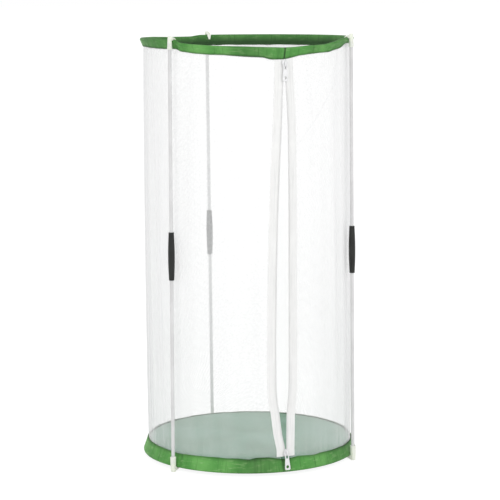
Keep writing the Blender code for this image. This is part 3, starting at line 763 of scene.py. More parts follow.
# The last number of each crease is how much painted shade it gets.
TOP_CREASES = (
    (0.0, 0.55, 0.0011, 0.95), (-3.4, 0.9, 0.0005, 0.25), (3.2, 0.8, 0.0005, 0.2), (-59.6, 0.7, 0.0009, 0.35),
)
BOTTOM_CREASES = (
    (-59.4, 0.8, 0.0009, 0.25), (-1.9, 0.7, 0.0007, 0.7), (1.8, 0.6, 0.0006, 0.6), (-17, 1.2, 0.0005, 0.15),
)
BOTTOM_SEAM_SLACK = (
    (-80, 0), (-62, 0.0014), (-52, 0.0006), (-38, 0.0003), (-26, 0.0004), (-20, 0.0016), (-16, -0.0008),
    (-10, -0.0004), (-6, 0.0012), (-2, 0.0026), (3, 0.0024), (7, 0.0008), (12, 0.0016), (19, 0.003),
    (24, 0.002), (33, 0.0024), (60, 0.0034), (90, 0),
)
# Stretches of painted shade along each band: an angle, a half-width and a share.
TOP_SHADED_STRETCHES = ((-85, 22, 0.36), (-18, 13, 0.42), (18, 5, 0.3), (44, 18, 0.36))
BOTTOM_SHADED_STRETCHES = ((-15, 14, 0.44), (45, 22, 0.36))
INNER_SHADES = ((0.48, 0.1), (0.54, 0.42), (0.72, 0.48), (0.82, 0.76), (0.9, 0.94), (1.0, 0.96))
print(f"{len(TOP_CREASES)} creases in the top band and {len(BOTTOM_CREASES)} in the bottom one")


# %% [markdown]
# A cut through the tape is one closed outline: up the outer leaf, over the hoop, down the inner leaf, and
# back along the tape's other face. The tape puffs out a little between hoop and seam and puckers at each
# crease. A flat strip with a solidify modifier would be quicker, but couldn't change so along its way.

# %% The binding's outline
def seam_shift(ring, degrees):
    """How far the leaves' ends stand from the seam's line, towards the hoop."""
    slack = 0 if ring.sags else ramp(BOTTOM_SEAM_SLACK, away(degrees, 0))
    return SEAM_WANDER * wave(degrees, SEAM_WAVES) + slack


def section(ring, degrees, creases):
    """The binding's outline at one angle: outer leaf, round the hoop, inner leaf, and back inside."""
    shift = seam_shift(ring, degrees)
    ring = ring.at(degrees)
    pucker = PUCKER_DEPTH * wave(degrees, PUCKER_WAVES)
    for place, width, depth, _ in creases:
        pucker -= depth * bell(away(degrees, place), width)
    skin = BINDING_THICKNESS
    outside = []
    inside = []
    for i in range(LEAF_POINTS):
        share = i / LEAF_POINTS
        centre = ring.seam + ring.along * (ring.length * share + shift * (1 - share))
        wide = ring.leaf_outer + (FOLD_RADIUS - ring.leaf_outer) * share**LEAF_FLARE
        puff = pucker * math.sin(math.pi * min(share + 0.12, 1))
        outside.append((centre + ring.across * (wide + puff), centre + ring.across * (wide + puff - skin)))
        inside.append((centre - ring.across * wide, centre - ring.across * (wide - skin)))
    arc = []
    for i in range(ARC_POINTS + 1):
        turn = math.pi * i / ARC_POINTS
        way = ring.across * math.cos(turn) + ring.along * math.sin(turn)
        arc.append((ring.hoop + way * FOLD_RADIUS, ring.hoop + way * (FOLD_RADIUS - skin)))
    both = outside + arc + inside[::-1]
    outline = [p for p, _ in both] + [q for _, q in reversed(both)]
    return [around(degrees, *p) for p in outline]


print("the binding's outline has", len(section(TOP_RING, 0, TOP_CREASES)), "points")


# %% [markdown]
# The band is that outline, lofted round the ring. Each point also stores its painted shade: over the hoop, at
# the seam and in the creases, along a few long stretches, and as its own shadow on the inner leaf. Baked
# ambient occlusion could find such shadows too, but it would be bound to one pose.

# %% The two bands
HOOP_SHADE = 0.30
SEAM_SHADE = 0.5
SHADE_REACH = 0.05
INNER_CREASE_SHARE = 0.2


def outline_shades(degrees, creases, shaded_stretches):
    """How much painted shade each point of the outline gets at an angle; place is 0 at the outer leaf's end, 1 at
    the inner's.
    """
    # Painted shade in the creases and along a few long stretches.
    dark = max(share * bell(away(degrees, angle), width * 0.7) for angle, width, _, share in creases)
    stretch_shade = max(share * bell(away(degrees, angle), width) for angle, width, share in shaded_stretches)
    shades = []
    for j in range(2 * FACE_POINTS):
        place = min(j, 2 * FACE_POINTS - 1 - j) / (FACE_POINTS - 1)
        edge = HOOP_SHADE * bell(place - 0.5, SHADE_REACH) + SEAM_SHADE * bell(place, SHADE_REACH)
        inner = ramp(INNER_SHADES, place) if place > 0.5 else 0
        shades.append(min(max(edge, inner) + (dark * INNER_CREASE_SHARE if inner else dark + stretch_shade), 1))
    return shades


def binding(name, ring, creases, shaded_stretches, body, replaced):
    angles = [360 * i / RING_STATIONS for i in range(RING_STATIONS)]
    rows = [section(ring, degrees, creases) for degrees in angles]
    arc_length = 2 * math.pi * NET_RADIUS
    tall = 2 * ring.length + math.pi * FOLD_RADIUS

    def cloth(i, j):
        up = min(j, 2 * FACE_POINTS - j)
        return (arc_length * i / RING_STATIONS, tall * up / FACE_POINTS)

    mesh = loft(name, rows, cloth, ring=True, tube=True)
    shade_layer(mesh, [shade for degrees in angles for shade in outline_shades(degrees, creases, shaded_stretches)])
    obj = piece(name, mesh, BINDING, body)
    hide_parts(replaced)
    print(f"{name}: {len(mesh.polygons)} quads round {RING_STATIONS} stations")


binding("top_band", TOP_RING, TOP_CREASES, TOP_SHADED_STRETCHES, "top_ring", "top_binding")
binding("bottom_band", BOTTOM_RING, BOTTOM_CREASES, BOTTOM_SHADED_STRETCHES, "base", "bottom_binding")


# %% [markdown]
# The hoop itself is a steel wire inside the fold. It hardly shows, but the mesh that is kept has it, so it
# is a closed tube of twelve sides that follows the same sag.

# %% The hoops
WIRE_SIDES = 12


def hoop_wire(name, ring, body, replaced):
    turns = [2 * math.pi * j / WIRE_SIDES for j in range(WIRE_SIDES)]
    spokes = [HOOP_WIRE_RADIUS * Vector((math.cos(turn), math.sin(turn))) for turn in turns]
    rows = []
    for i in range(RING_STATIONS):
        degrees = 360 * i / RING_STATIONS
        hoop = ring.at(degrees).hoop
        rows.append([around(degrees, *(hoop + spoke)) for spoke in spokes])
    mesh = loft(name, rows, lambda i, j: (i * 0.002, j * 0.0006), ring=True, tube=True)
    obj = piece(name, mesh, STEEL, body)
    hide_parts(replaced)
    print(f"{name}: a wire of {2000 * HOOP_WIRE_RADIUS:.1f} mm")


hoop_wire("top_wire", TOP_RING, "top_ring", "top_hoop")
hoop_wire("bottom_wire", BOTTOM_RING, "base", "bottom_hoop")


# %% [markdown]
# Each binding is sewn near its leaves' ends with one line of stitches, one every 3 mm, which shows on both
# sides. A bump could only draw it. Here each stitch is a short three-sided thread that rises from the tape
# and dips back into it, so it also catches the light from the side.

# %% The stitches
STITCH = 0.0032
GAP_SHARE = 0.28
THREAD_RADIUS = 0.00022
THREAD_CORNERS = (0, 2.1, 4.2)
FROM_SEAM = 0.0017
STITCH_PATH = ((0.0, -0.0001), (0.18, 0.00026), (0.5, 0.00026), (0.82, 0.00026), (1.0, -0.0001))


def stitching(name, ring, body, side):
    """Stitches on one face of a band. STITCH_PATH gives shares of a stitch and heights over the tape."""
    count = round(2 * math.pi * NET_RADIUS / STITCH)
    verts = []
    faces = []
    for i in range(count):
        first = len(verts)
        for k, (share, lift) in enumerate(STITCH_PATH):
            degrees = 360 * (i + GAP_SHARE / 2 + share * (1 - GAP_SHARE)) / count
            local = ring.at(degrees)
            centre = local.seam + local.along * (FROM_SEAM + seam_shift(ring, degrees))
            for turn in THREAD_CORNERS:
                out = local.leaf_outer + lift + THREAD_RADIUS * math.cos(turn)
                place = centre + local.across * side * out + local.along * THREAD_RADIUS * math.sin(turn)
                verts.append(around(degrees, *place))
            if k:
                base = len(verts) - 6
                for a, b in ((0, 1), (1, 2), (2, 0)):
                    faces.append((base + a, base + b, base + 3 + b, base + 3 + a))
        last = len(verts) - 3
        faces.append((first, first + 2, first + 1))
        faces.append((last, last + 1, last + 2))
    mesh = bpy.data.meshes.new(name)
    mesh.from_pydata(verts, [], faces)
    mesh.shade_smooth()
    obj = piece(name, mesh, THREAD, body)
    print(f"{name}: {count} stitches")


stitching("top_stitching_outside", TOP_RING, "top_ring", 1)
stitching("top_stitching_inside", TOP_RING, "top_ring", -1)
stitching("bottom_stitching_outside", BOTTOM_RING, "base", 1)
stitching("bottom_stitching_inside", BOTTOM_RING, "base", -1)


# %% [markdown]
# ## The net
#
# One sheet of net runs round the cage from one zip tape to the other. Its two edges follow the door's.

# %% Where the door's edges stand
def opening(side, z):
    """How far a row of the zip stands from the middle of the door; side is -1 or 1."""
    along = (z - DOOR_LOW) / (DOOR_HIGH - DOOR_LOW)
    if side < 0:
        return OPENING_LEFT * ramp(LEFT_OPENING_SHARES, along)
    return OPENING_RIGHT * ramp(RIGHT_OPENING_SHARES, along)


print(f"at mid height the door is {1000 * (opening(-1, 0.3) + opening(1, 0.3)):.1f} mm wide")

# %% [markdown]
# The net hangs in long soft folds, with short gathers beside each seam, and one fold pulls slantwise from
# the right rod towards the door. A cloth simulation could hang it, but this net is stretched between two
# rings and has little slack, so it would only move the folds to places of its own. Each fold here is a
# bell: an angle, how far it stands out and its half-width.

# %% The net's folds
NET_FOLDS = (
    (-108, 0.0021, 6), (-97, 0.0012, 3), (-90, 0.0028, 4), (-82, -0.0010, 3), (-73, 0.0021, 4), (-50, 0.0007, 4),
    (-38, -0.0005, 3), (22, 0.0009, 4), (33, 0.0014, 3), (45, 0.0024, 4), (57, -0.0009, 3), (68, 0.0023, 4),
    (84, 0.0012, 3), (101, 0.0017, 4), (122, -0.0008, 4), (146, 0.0018, 4), (166, 0.0009, 5), (-152, 0.0012, 5),
    (-130, -0.0009, 4),
)
SLANT_TOP = 41
SLANT_RUN = 160
SLANT_DEPTH = 0.0014
SLANT_WIDTH = 2.4
SLANT_SHARES = ((0.76, 0), (0.8, 1), (0.94, 1), (1.0, 0))
GATHER_DEPTH = 0.0006
GATHER_WAVES = ((71, 0.2, 0.4), (97, 1.1, 0.35), (139, 3.0, 0.25))
GATHER_SHARES = ((0, 0), (0.006, 1), (0.994, 1), (1, 0))


def fold(degrees, share):
    """How far the net stands out at an angle and a share of its height."""
    out = 0.0
    for place, depth, width in NET_FOLDS:
        drift = 3.0 * math.sin(math.radians(place) * 3 + 2.2 * share)
        out += depth * bell(away(degrees, place + drift), width)
    out *= math.sin(math.pi * share) ** 0.5
    slant = away(degrees, SLANT_TOP - SLANT_RUN * (1 - share))
    out += SLANT_DEPTH * bell(slant, SLANT_WIDTH) * ramp(SLANT_SHARES, share)
    near = bell(1 - share, 0.035) + bell(share, 0.03)
    return out + GATHER_DEPTH * wave(degrees, GATHER_WAVES) * near * ramp(GATHER_SHARES, share)


print(f"{len(NET_FOLDS)} folds, the deepest {1000 * max(depth for _, depth, _ in NET_FOLDS):.1f} mm")

# %% [markdown]
# The net's points stand in rows that run from one edge of the door round to the other. A row's level is told
# on the door, and its points may stand lower, where the ring sags. Beside the door the tapes hold the net
# flat, so the folds fade there.

# %% A row of the hanging net
NET_COLUMNS = 420
FLAT_BY_DOOR = 4.0


def net_row(level, point_at):
    """A row of points from the door's right edge round to its left, at a level on the door."""
    right = math.degrees((NET_EDGE + opening(1, level)) / NET_RADIUS)
    left = 360 - math.degrees((NET_EDGE + opening(-1, level)) / NET_RADIUS)
    row = []
    for j in range(NET_COLUMNS + 1):
        degrees = right + (left - right) * j / NET_COLUMNS
        row.append(point_at(degrees, min(abs(degrees - right), abs(left - degrees))))
    return row


def hanging(z, from_edge, degrees):
    """A point of the hanging net, standing out by its folds except at the door's edges."""
    share = (z - BOTTOM_SEAM) / (TOP_SEAM - sag(degrees) - BOTTOM_SEAM)
    out = fold(degrees, min(max(share, 0), 1)) * min(from_edge / FLAT_BY_DOOR, 1)
    return around(degrees, NET_RADIUS + out, z)


middle_row = net_row(0.3, lambda degrees, edge: hanging(0.3, edge, degrees))
print(f"a row at mid height is {sum((b - a).length for a, b in zip(middle_row, middle_row[1:])):.3f} m long")

# %% [markdown]
# When the cage folds flat, the top ring comes down and the wall crumples under it. A piece that flattens
# does so by one share over its whole height, and the ring's seam isn't level, so the sheet is drawn in two:
# a tall wall, up to a level line just below the seam's lowest point, and a narrow strip that rides on the
# ring. Both come from the same rows of points, so the line doesn't show.

# %% Rows of the wall and the strip
WALL_ROWS = 60
STRIP_ROWS = 8
NET_CUT = 0.58
HEM_SHARE = 0.8


def door_level(z):
    """The height on a level door of a point of the sagging one."""
    return BOTTOM_SEAM + (z - BOTTOM_SEAM) * (TOP_SEAM - BOTTOM_SEAM) / (TOP_SEAM - sag(0) - BOTTOM_SEAM)


def hem_row(level, ring):
    """A row tucked between the binding's two leaves."""

    def point_at(degrees, from_edge):
        local = ring.at(degrees)
        return around(degrees, *(local.seam + local.along * HEM_TUCK * HEM_SHARE))

    return net_row(level, point_at)


def wall_rows():
    rows = [hem_row(BOTTOM_SEAM, BOTTOM_RING)]
    for i in range(WALL_ROWS + 1):
        z = BOTTOM_SEAM + (NET_CUT - BOTTOM_SEAM) * (0.5 - 0.5 * math.cos(math.pi * i / WALL_ROWS))
        rows.append(net_row(door_level(z), lambda degrees, edge: hanging(z, edge, degrees)))
    return rows


def strip_rows():
    rows = []
    for i in range(STRIP_ROWS + 1):
        share = i / STRIP_ROWS
        level = door_level(NET_CUT) + (TOP_SEAM - door_level(NET_CUT)) * share

        def point_at(degrees, edge):
            z = NET_CUT + (TOP_SEAM - sag(degrees) - NET_CUT) * share
            return hanging(z, edge, degrees)

        rows.append(net_row(level, point_at))
    return rows + [hem_row(TOP_SEAM, TOP_RING)]


lowest_seam = TOP_SEAM - RING_SAG
print(f"the wall is cut at {1000 * NET_CUT:.0f} mm, below the seam's lowest point at {1000 * lowest_seam:.1f} mm")

# %% [markdown]
# The whole wall is one cut of 0.915 by 0.576 m. Each of its two pieces is lofted from its own rows, with a
# cloth map in metres along that cut.

# %% The wall of net
NET_LENGTH = 2 * math.pi * NET_RADIUS - 2 * NET_EDGE


def net_piece(name, rows, body):
    mesh = loft(name, rows, lambda i, j: (NET_LENGTH * j / NET_COLUMNS, rows[i][j].z))
    obj = piece(name, mesh, NET, body)
    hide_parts("wall_net")
    print(f"{name}: {sum(face.area for face in mesh.polygons):.4f} square metres of net")
    return obj


wall = net_piece("wall_net_sheet", wall_rows(), "base")
net_piece("wall_net_top_strip", strip_rows(), "top_ring")


# %% [markdown]
# The top net and the floor are discs. A grid would leave stepped edges, so they are rings of points about
# the middle, which also lets the rim follow the sagging seam. A small face closes the centre.

# %% A round panel
PANEL_RADIUS = NET_RADIUS - 0.0006
CENTRE_SHARE = 0.002


def disc(name, level_at, rings, spokes, material, body):
    """A round panel as rings of points about its middle."""
    shares = [max(i / rings, CENTRE_SHARE) for i in range(rings + 1)]
    turns = [360 * j / spokes for j in range(spokes)]
    rows = [[around(turn, PANEL_RADIUS * share, level_at(turn, share)) for turn in turns] for share in shares]

    def cloth(i, j):
        return around(360 * j / spokes, PANEL_RADIUS * shares[i], 0).xy

    mesh = loft(name, rows, cloth, ring=True)
    close_rings(mesh, [range(spokes)], flat_map=True)
    mesh.shade_smooth()
    print(f"{name}: {len(mesh.polygons)} faces")
    return piece(name, mesh, material, body)


print(f"a panel is {2000 * PANEL_RADIUS:.1f} mm across")


# %% [markdown]
# The top net is stretched inside the ring at its seam. Its rim follows the seam's sag, and its middle
# settles to the mean of it, a little lower under its own weight.

# %% The top net
TOP_LEVEL = 0.59338
TOP_DIP = 0.0016
TOP_RIPPLE = 0.0004
TOP_WAVES = ((9, 0.5, 0.5), (17, 2.0, 0.5))
MEAN_SAG = sum(sag(a) for a in range(360)) / 360


def top_level(degrees, share):
    """The top net follows the ring at its rim and hangs a little in the middle."""
    rim = sag(degrees) * share**2 + MEAN_SAG * (1 - share**2)
    ripple = TOP_RIPPLE * wave(degrees, TOP_WAVES) * share**3 * (1 - share)
    return TOP_LEVEL - rim - TOP_DIP * (1 - share**2) + ripple


top_sheet = disc("top_net_sheet", top_level, 24, 240, TOP_NET, "top_ring")
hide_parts("top_net")
print(f"the ring's seam sags by {1000 * MEAN_SAG:.1f} mm on average")

# %% [markdown]
# The floor is a stiffer woven panel. It is rucked beside the door, where the lower ring was bent. Each ruck
# is a bell along the rim and in from it: an angle, a share of the radius, a height, a width and a reach. At
# its rim the floor turns down into the band's seam.

# %% The floor
FLOOR_LEVEL = 0.0275
FLOOR_RIPPLE = 0.0004
FLOOR_WAVES = ((5, 0.8, 0.5), (9, 2.6, 0.5))
RIM_DROP = 0.0034
RIM_SHARES = ((0.93, 0), (0.97, 0.35), (1, 1))
RUCK_SLANT = 40
RUCKS = (
    (-15, 0.86, 0.0016, 5.5, 0.09), (-9, 0.92, -0.0009, 3.5, 0.06), (-24, 0.90, 0.0010, 5.0, 0.07),
    (12, 0.93, 0.0006, 5.0, 0.05),
)


def floor_level(degrees, share):
    z = FLOOR_LEVEL + FLOOR_RIPPLE * wave(degrees, FLOOR_WAVES) * share**2 * (1 - share**8)
    z -= (RIM_DROP + max(seam_shift(BOTTOM_RING, degrees), 0)) * ramp(RIM_SHARES, share)
    for place, reach, rise, width, deep in RUCKS:
        slant = away(degrees, place + RUCK_SLANT * (share - reach))
        z += rise * bell(slant, width) * bell(share - reach, deep) * (1 - share**20)
    return z


floor_sheet = disc("floor_cloth", floor_level, 48, 300, FLOOR_CLOTH, "base")
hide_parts("floor_panel")
print(f"the floor lies {1000 * FLOOR_LEVEL:.1f} mm up, with {len(RUCKS)} rucks by the door")


# %% [markdown]
# ## The zip
#
# The zip is as tall as the door and sags with the ring: a place on it is told by its side, how far it
# stands from the door's middle along the wall, how far out, and its height before the sag.

# %% Places on the zip
def strip_height(z, degrees):
    """The zip's own height at a point, shortened where the ring droops."""
    return z - sag(degrees) * (z - ZIP_BOTTOM) / (ZIP_TOP - ZIP_BOTTOM)


def zip_place(side, reach, out, z):
    degrees = side * math.degrees(reach / NET_RADIUS)
    return around(degrees, out, strip_height(z, degrees))


print(f"the zip ends {1000 * (ZIP_TOP - strip_height(ZIP_TOP, 0)):.1f} mm lower than on a level ring")

# %% [markdown]
# Two woven tapes edge the door, sewn over the net's edges. A tape is a thin closed strip whose face has a
# low line where it is sewn, and it ripples a little towards its outer edge. A flat plane would do from afar,
# but the tape is seen from its side too, where the door stands open.

# %% The tapes
TAPE_STATIONS = 140
TAPE_POINTS = 9
TAPE_FACE = TAPE_INSIDE + 0.0006
TAPE_THICKNESS = 0.0005
TAPE_LENGTH = 0.567
TAPE_RIPPLE = 0.00025
SEWN_DEPTH = 0.0002
SEWN_SHARE = 0.55


def tape(word, side):
    rows = []
    for i in range(TAPE_STATIONS + 1):
        z = ZIP_BOTTOM + (ZIP_TOP - ZIP_BOTTOM) * i / TAPE_STATIONS
        edge = ROW_EDGE + opening(side, z)
        front = []
        back = []
        for j in range(TAPE_POINTS + 1):
            share = j / TAPE_POINTS
            ripple = TAPE_RIPPLE * math.sin(z * 95 + side) * share**2
            out = TAPE_FACE + ripple - SEWN_DEPTH * bell(share - SEWN_SHARE, 0.06)
            front.append(zip_place(side, edge + TAPE_WIDTH * share, out, z))
            back.append(zip_place(side, edge + TAPE_WIDTH * share, out - TAPE_THICKNESS, z))
        rows.append(front + back[::-1])

    def cloth(i, j):
        across = j if j <= TAPE_POINTS else 2 * TAPE_POINTS + 1 - j
        return (TAPE_LENGTH * i / TAPE_STATIONS, TAPE_WIDTH * across / TAPE_POINTS)

    mesh = loft(f"tape_{word}", rows, cloth, ring=True)
    count = len(rows[0])
    top = TAPE_STATIONS * count
    close_rings(mesh, [range(count), range(top, top + count)])
    obj = piece(f"tape_{word}", mesh, TAPE, "base")
    obj.data.set_sharp_from_angle(angle=math.radians(60))
    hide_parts(f"zip_tape_{word}")
    print(f"tape_{word}: {1000 * TAPE_WIDTH:.1f} mm wide")
    return obj


tapes = [tape("left", -1), tape("right", 1)]


# %% [markdown]
# Each tape carries half of the zip, a nylon thread wound flat in close turns. The right half is wound a
# quarter of a turn on from the left one, so that the two don't mirror each other. A curve with a round bevel
# could wind it too, but a loft keeps the thread's sides few and follows the door's own edge.

# %% How a coil is wound
COIL_PITCH = 0.0018
COIL_THREAD = 0.0003
COIL_OFFSET = 0.25
TURN_POINTS = 12


def coil_path(side, turns):
    """The thread's middle line: each turn goes out to the row's edge and back behind it."""
    path = []
    for i in range(turns * TURN_POINTS + 1):
        turn = 2 * math.pi * i / TURN_POINTS
        z = ZIP_BOTTOM + COIL_PITCH * (i / TURN_POINTS + (COIL_OFFSET if side > 0 else 0))
        z = min(z, ZIP_TOP)
        reach = ROW_EDGE + opening(side, z) + COIL_WIDTH / 2 - (COIL_WIDTH / 2 - COIL_THREAD) * math.cos(turn)
        out = COIL_INSIDE + COIL_THICKNESS / 2 + (COIL_THICKNESS / 2 - COIL_THREAD) * math.sin(turn)
        path.append(zip_place(side, reach, out, z))
    return path


print(f"{TURN_POINTS} points a turn, {1000 * COIL_PITCH:.1f} mm from turn to turn")


# %% [markdown]
# Round that path the thread is a loft of small rings. Each ring starts from any direction square to the
# path, and keeps the last one's where that would turn it too far, or else the thread would look twisted.

# %% The coils
THREAD_SIDES = 5


def thread_rows(path):
    """Rings of points round a path, none turned far from the last."""
    rows = []
    last = None
    for i, p in enumerate(path):
        ahead = (path[min(i + 1, len(path) - 1)] - path[max(i - 1, 0)]).normalized()
        one = ahead.orthogonal().normalized()
        if last is not None and one.dot(last) < 0.2:
            one = (last - ahead * last.dot(ahead)).normalized()
        last = one
        other = ahead.cross(one)
        row = []
        for k in range(THREAD_SIDES):
            spin = 2 * math.pi * k / THREAD_SIDES
            row.append(p + (one * math.cos(spin) + other * math.sin(spin)) * COIL_THREAD)
        rows.append(row)
    return rows


def coil(word, side):
    turns = int((ZIP_TOP - ZIP_BOTTOM) / COIL_PITCH)
    rows = thread_rows(coil_path(side, turns))
    mesh = loft(f"coil_{word}", rows, lambda i, j: (i * 0.0002, j * 0.0002), ring=True)
    obj = piece(f"coil_{word}", mesh, COIL, "base")
    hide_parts(f"zip_coil_{word}")
    print(f"coil_{word}: {turns} turns, {1000 * COIL_PITCH:.1f} mm apart")
    return obj


coils = [coil("left", -1), coil("right", 1)]


# %% [markdown]
# ## Rods, ferrules and caps
#
# The poles are plain coated tubes, so their CAD shapes are already right and only need the finish. Drawing
# them again would gain nothing.

# %% The poles
poles = [obj for name, obj in nodes.items() if "pole" in name]
for obj in poles:
    obj.data.materials.clear()
    obj.data.materials.append(ROD)
print(f"{len(poles)} poles take the rod coating")

# %% [markdown]
# The caps are moulded in soft-edged plastic. Each is a copy of the CAD's own solid, so its hook stays where
# it holds the hoop. A bevel would fail where its small curved parts meet, so it is remeshed in fine cubes
# and smoothed, which rounds every edge alike.

# %% The caps
CAP_VOXEL = 0.0004
CAP_SMOOTHINGS = 3

for name in sorted(n for n in nodes if "_cap_" in n):
    cap = piece(f"moulded_{name}", nodes[name].data.copy(), CAP, nodes[name]["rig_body"])
    cap.data.materials.clear()
    cap.data.materials.append(CAP)
    remesh = cap.modifiers.new("Fine", "REMESH")
    remesh.mode = "VOXEL"
    remesh.voxel_size = CAP_VOXEL
    smooth = cap.modifiers.new("Soft", "SMOOTH")
    smooth.factor = 0.5
    smooth.iterations = CAP_SMOOTHINGS
    apply_modifiers(cap)
    cap.data.shade_smooth()
    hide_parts(name)
    print(f"moulded_{name}: {len(cap.data.polygons)} faces after the remesh")

# %% [markdown]
# A ferrule joins two poles. It is a turned form, fullest in the middle, with a lip at each end, so its
# outline is spun round its axis and then leaned to its rod. Half of the outline is enough, as radius and
# height above the middle.

# %% The ferrules
FERRULE_OUTLINE = (
    (0.0028, 0.03375), (0.0036, 0.03375), (0.00385, 0.0335), (0.0039, 0.0322), (0.0038, 0.0314), (0.0039, 0.0306),
    (0.00405, 0.027), (0.0043, 0.0209), (0.00455, 0.014), (0.0047, 0.0084), (0.00475, 0.003),
)
FERRULE_SIDES = 40


def turned(name, outline, sides):
    """A closed form spun about z from an outline of radii and heights."""
    turns = [2 * math.pi * k / sides for k in range(sides)]
    rows = [[Vector((radius * math.cos(t), radius * math.sin(t), z)) for t in turns] for radius, z in outline]
    return loft(name, rows, lambda i, j: (j * 0.001, i * 0.001), ring=True, tube=True)


def middle_of(name):
    low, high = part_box(name)
    return (low + high) / 2


for where in RODS:
    name = f"ferrule_{where}"
    rod_line = middle_of(f"upper_pole_{where}") - middle_of(f"lower_pole_{where}")
    lean = rod_line.to_track_quat("Z", "Y")
    outline = list(FERRULE_OUTLINE) + [(r, -z) for r, z in reversed(FERRULE_OUTLINE)]
    mesh = turned(f"sleeve_{where}", outline, FERRULE_SIDES)
    mesh.transform(Matrix.Translation(middle_of(name)) @ lean.to_matrix().to_4x4())
    obj = piece(f"sleeve_{where}", mesh, FERRULE, nodes[name]["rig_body"])
    obj.data.set_sharp_from_angle(angle=math.radians(50))
    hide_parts(name)
    print(f"sleeve_{where}: leans {math.degrees(rod_line.angle((0, 0, 1))):.2f} degrees")


# %% [markdown]
# ## Sliders and pulls
#
# A slider is two waisted plates with a post between them, which parts the rows, and a bridge that the pull
# hangs from. Each part starts as a sharp outline and depth. A bevel modifier then rounds every edge that
# turns sharply enough, as a casting is rounded, and leaves the nearly flat ones.

# %% Plates and rounded edges
EDGE_ROUNDING = 0.00025


def plate(bm, outline, near, far):
    """A flat plate from an outline in x and z, between two depths in front of the cage's axis."""
    front = [bm.verts.new((x, -far, z)) for x, z in outline]
    back = [bm.verts.new((x, -near, z)) for x, z in outline]
    bm.faces.new(front)
    bm.faces.new(back[::-1])
    for i in range(len(outline)):
        j = (i + 1) % len(outline)
        bm.faces.new((front[j], front[i], back[i], back[j]))


def rounded(obj, segments, least_turn):
    """Rounds every edge of an object that turns by more than so many degrees."""
    bevel = obj.modifiers.new("Edges", "BEVEL")
    bevel.width = EDGE_ROUNDING
    bevel.segments = segments
    bevel.limit_method = "ANGLE"
    bevel.angle_limit = math.radians(least_turn)
    apply_modifiers(obj)
    obj.data.shade_smooth()
    obj.data.set_sharp_from_angle(angle=math.radians(40))
    print(f"{obj.name}: {len(obj.data.polygons)} faces with its rounded edges")


print(f"edges are rounded by {1000 * EDGE_ROUNDING:.2f} mm")


# %% [markdown]
# The bridge is an arch, drawn by its outer and inner lines as distances from the axis and heights above its
# middle. Both lines mirror below it, so each is given by its upper half. A bent cube would need as many
# points and hide where they stand.

# %% The bridge
BRIDGE_OVER = ((0.1518, 0.00355), (0.1534, 0.0035), (0.1547, 0.0027), (0.1552, 0.0012))
BRIDGE_UNDER = ((0.1518, 0.0028), (0.1531, 0.0027), (0.1539, 0.0021), (0.1544, 0.001))
BRIDGE_HALF = 0.0011


def both_ways(line):
    """An arch from its upper half."""
    return line + tuple((y, -z) for y, z in reversed(line))


def bridge(bm, middle):
    """The arch that the pull hangs from, about a height."""
    sides = []
    for x in (-BRIDGE_HALF, BRIDGE_HALF):
        lines = (both_ways(BRIDGE_OVER), both_ways(BRIDGE_UNDER))
        sides.append([[bm.verts.new((x, -y, middle + z)) for y, z in line] for line in lines])
    (left_over, left_under), (right_over, right_under) = sides
    for i in range(len(left_over) - 1):
        bm.faces.new((left_over[i], left_over[i + 1], right_over[i + 1], right_over[i]))
        bm.faces.new((left_under[i + 1], left_under[i], right_under[i], right_under[i + 1]))
        bm.faces.new((left_over[i + 1], left_over[i], left_under[i], left_under[i + 1]))
        bm.faces.new((right_over[i], right_over[i + 1], right_under[i + 1], right_under[i]))
    for i in (0, -1):
        bm.faces.new((left_over[i], right_over[i], right_under[i], left_under[i]))


print(f"the bridge is {2000 * BRIDGE_HALF:.1f} mm wide")


# %% [markdown]
# The plates' outline gives half-widths and shares of the slider's half height, and `flip` turns the lower
# slider over, so that it mirrors the upper one. Each plate and the post have two depths, distances in front
# of the cage's axis.

# %% The sliders
SLIDER_SIDE = ((0.0030, -1), (0.0033, -0.55), (0.0041, 0.2), (0.0041, 0.78), (0.0033, 1))
SLIDER_OUTLINE = SLIDER_SIDE + tuple((-x, z) for x, z in reversed(SLIDER_SIDE))
FRONT_PLATE = (0.15135, 0.15225)
BACK_PLATE = (0.14735, 0.14825)
POST = ((-0.0006, -0.25), (0.0006, -0.25), (0.0006, 0.5), (-0.0006, 0.5))
POST_DEPTHS = (0.1480, 0.1516)


def slider(name, replaced, flip):
    low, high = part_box(replaced)
    middle = (low.z + high.z) / 2
    half = (high.z - low.z) / 2
    outline = [(x, middle + flip * half * z) for x, z in SLIDER_OUTLINE]
    bm = bmesh.new()
    plate(bm, outline, *FRONT_PLATE)
    plate(bm, outline, *BACK_PLATE)
    plate(bm, [(x, middle + half * z) for x, z in POST], *POST_DEPTHS)
    bridge(bm, middle)
    bmesh.ops.recalc_face_normals(bm, faces=bm.faces)
    mesh = bpy.data.meshes.new(name)
    bm.to_mesh(mesh)
    bm.free()
    obj = piece(name, mesh, SLIDER, replaced)
    rounded(obj, 3, 30)
    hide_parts(replaced)
    print(f"{name}: {1000 * (high.z - low.z):.1f} mm tall")


slider("slider_upper_body", "upper_slider", 1)
slider("slider_lower_body", "lower_slider", -1)


# %% [markdown]
# The pulls are flat tabs with holes, and the CAD has their outlines right. Its mesh comes in loose
# triangles, so they are merged and dissolved into whole faces before a bevel rounds the edges.

# %% The pulls
def pull_tab(name, replaced):
    """The CAD's own tab with its edges rounded."""
    obj = piece(name, nodes[replaced].data.copy(), SLIDER, replaced)
    obj.data.materials.clear()
    obj.data.materials.append(SLIDER)
    merged = bmesh.new()
    merged.from_mesh(obj.data)
    bmesh.ops.remove_doubles(merged, verts=merged.verts, dist=0.00001)
    bmesh.ops.dissolve_limit(merged, angle_limit=0.02, verts=merged.verts, edges=merged.edges)
    merged.to_mesh(obj.data)
    merged.free()
    rounded(obj, 2, 50)
    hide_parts(replaced)


pull_tab("pull_upper_tab", "upper_pull")
pull_tab("pull_lower_tab", "lower_pull")


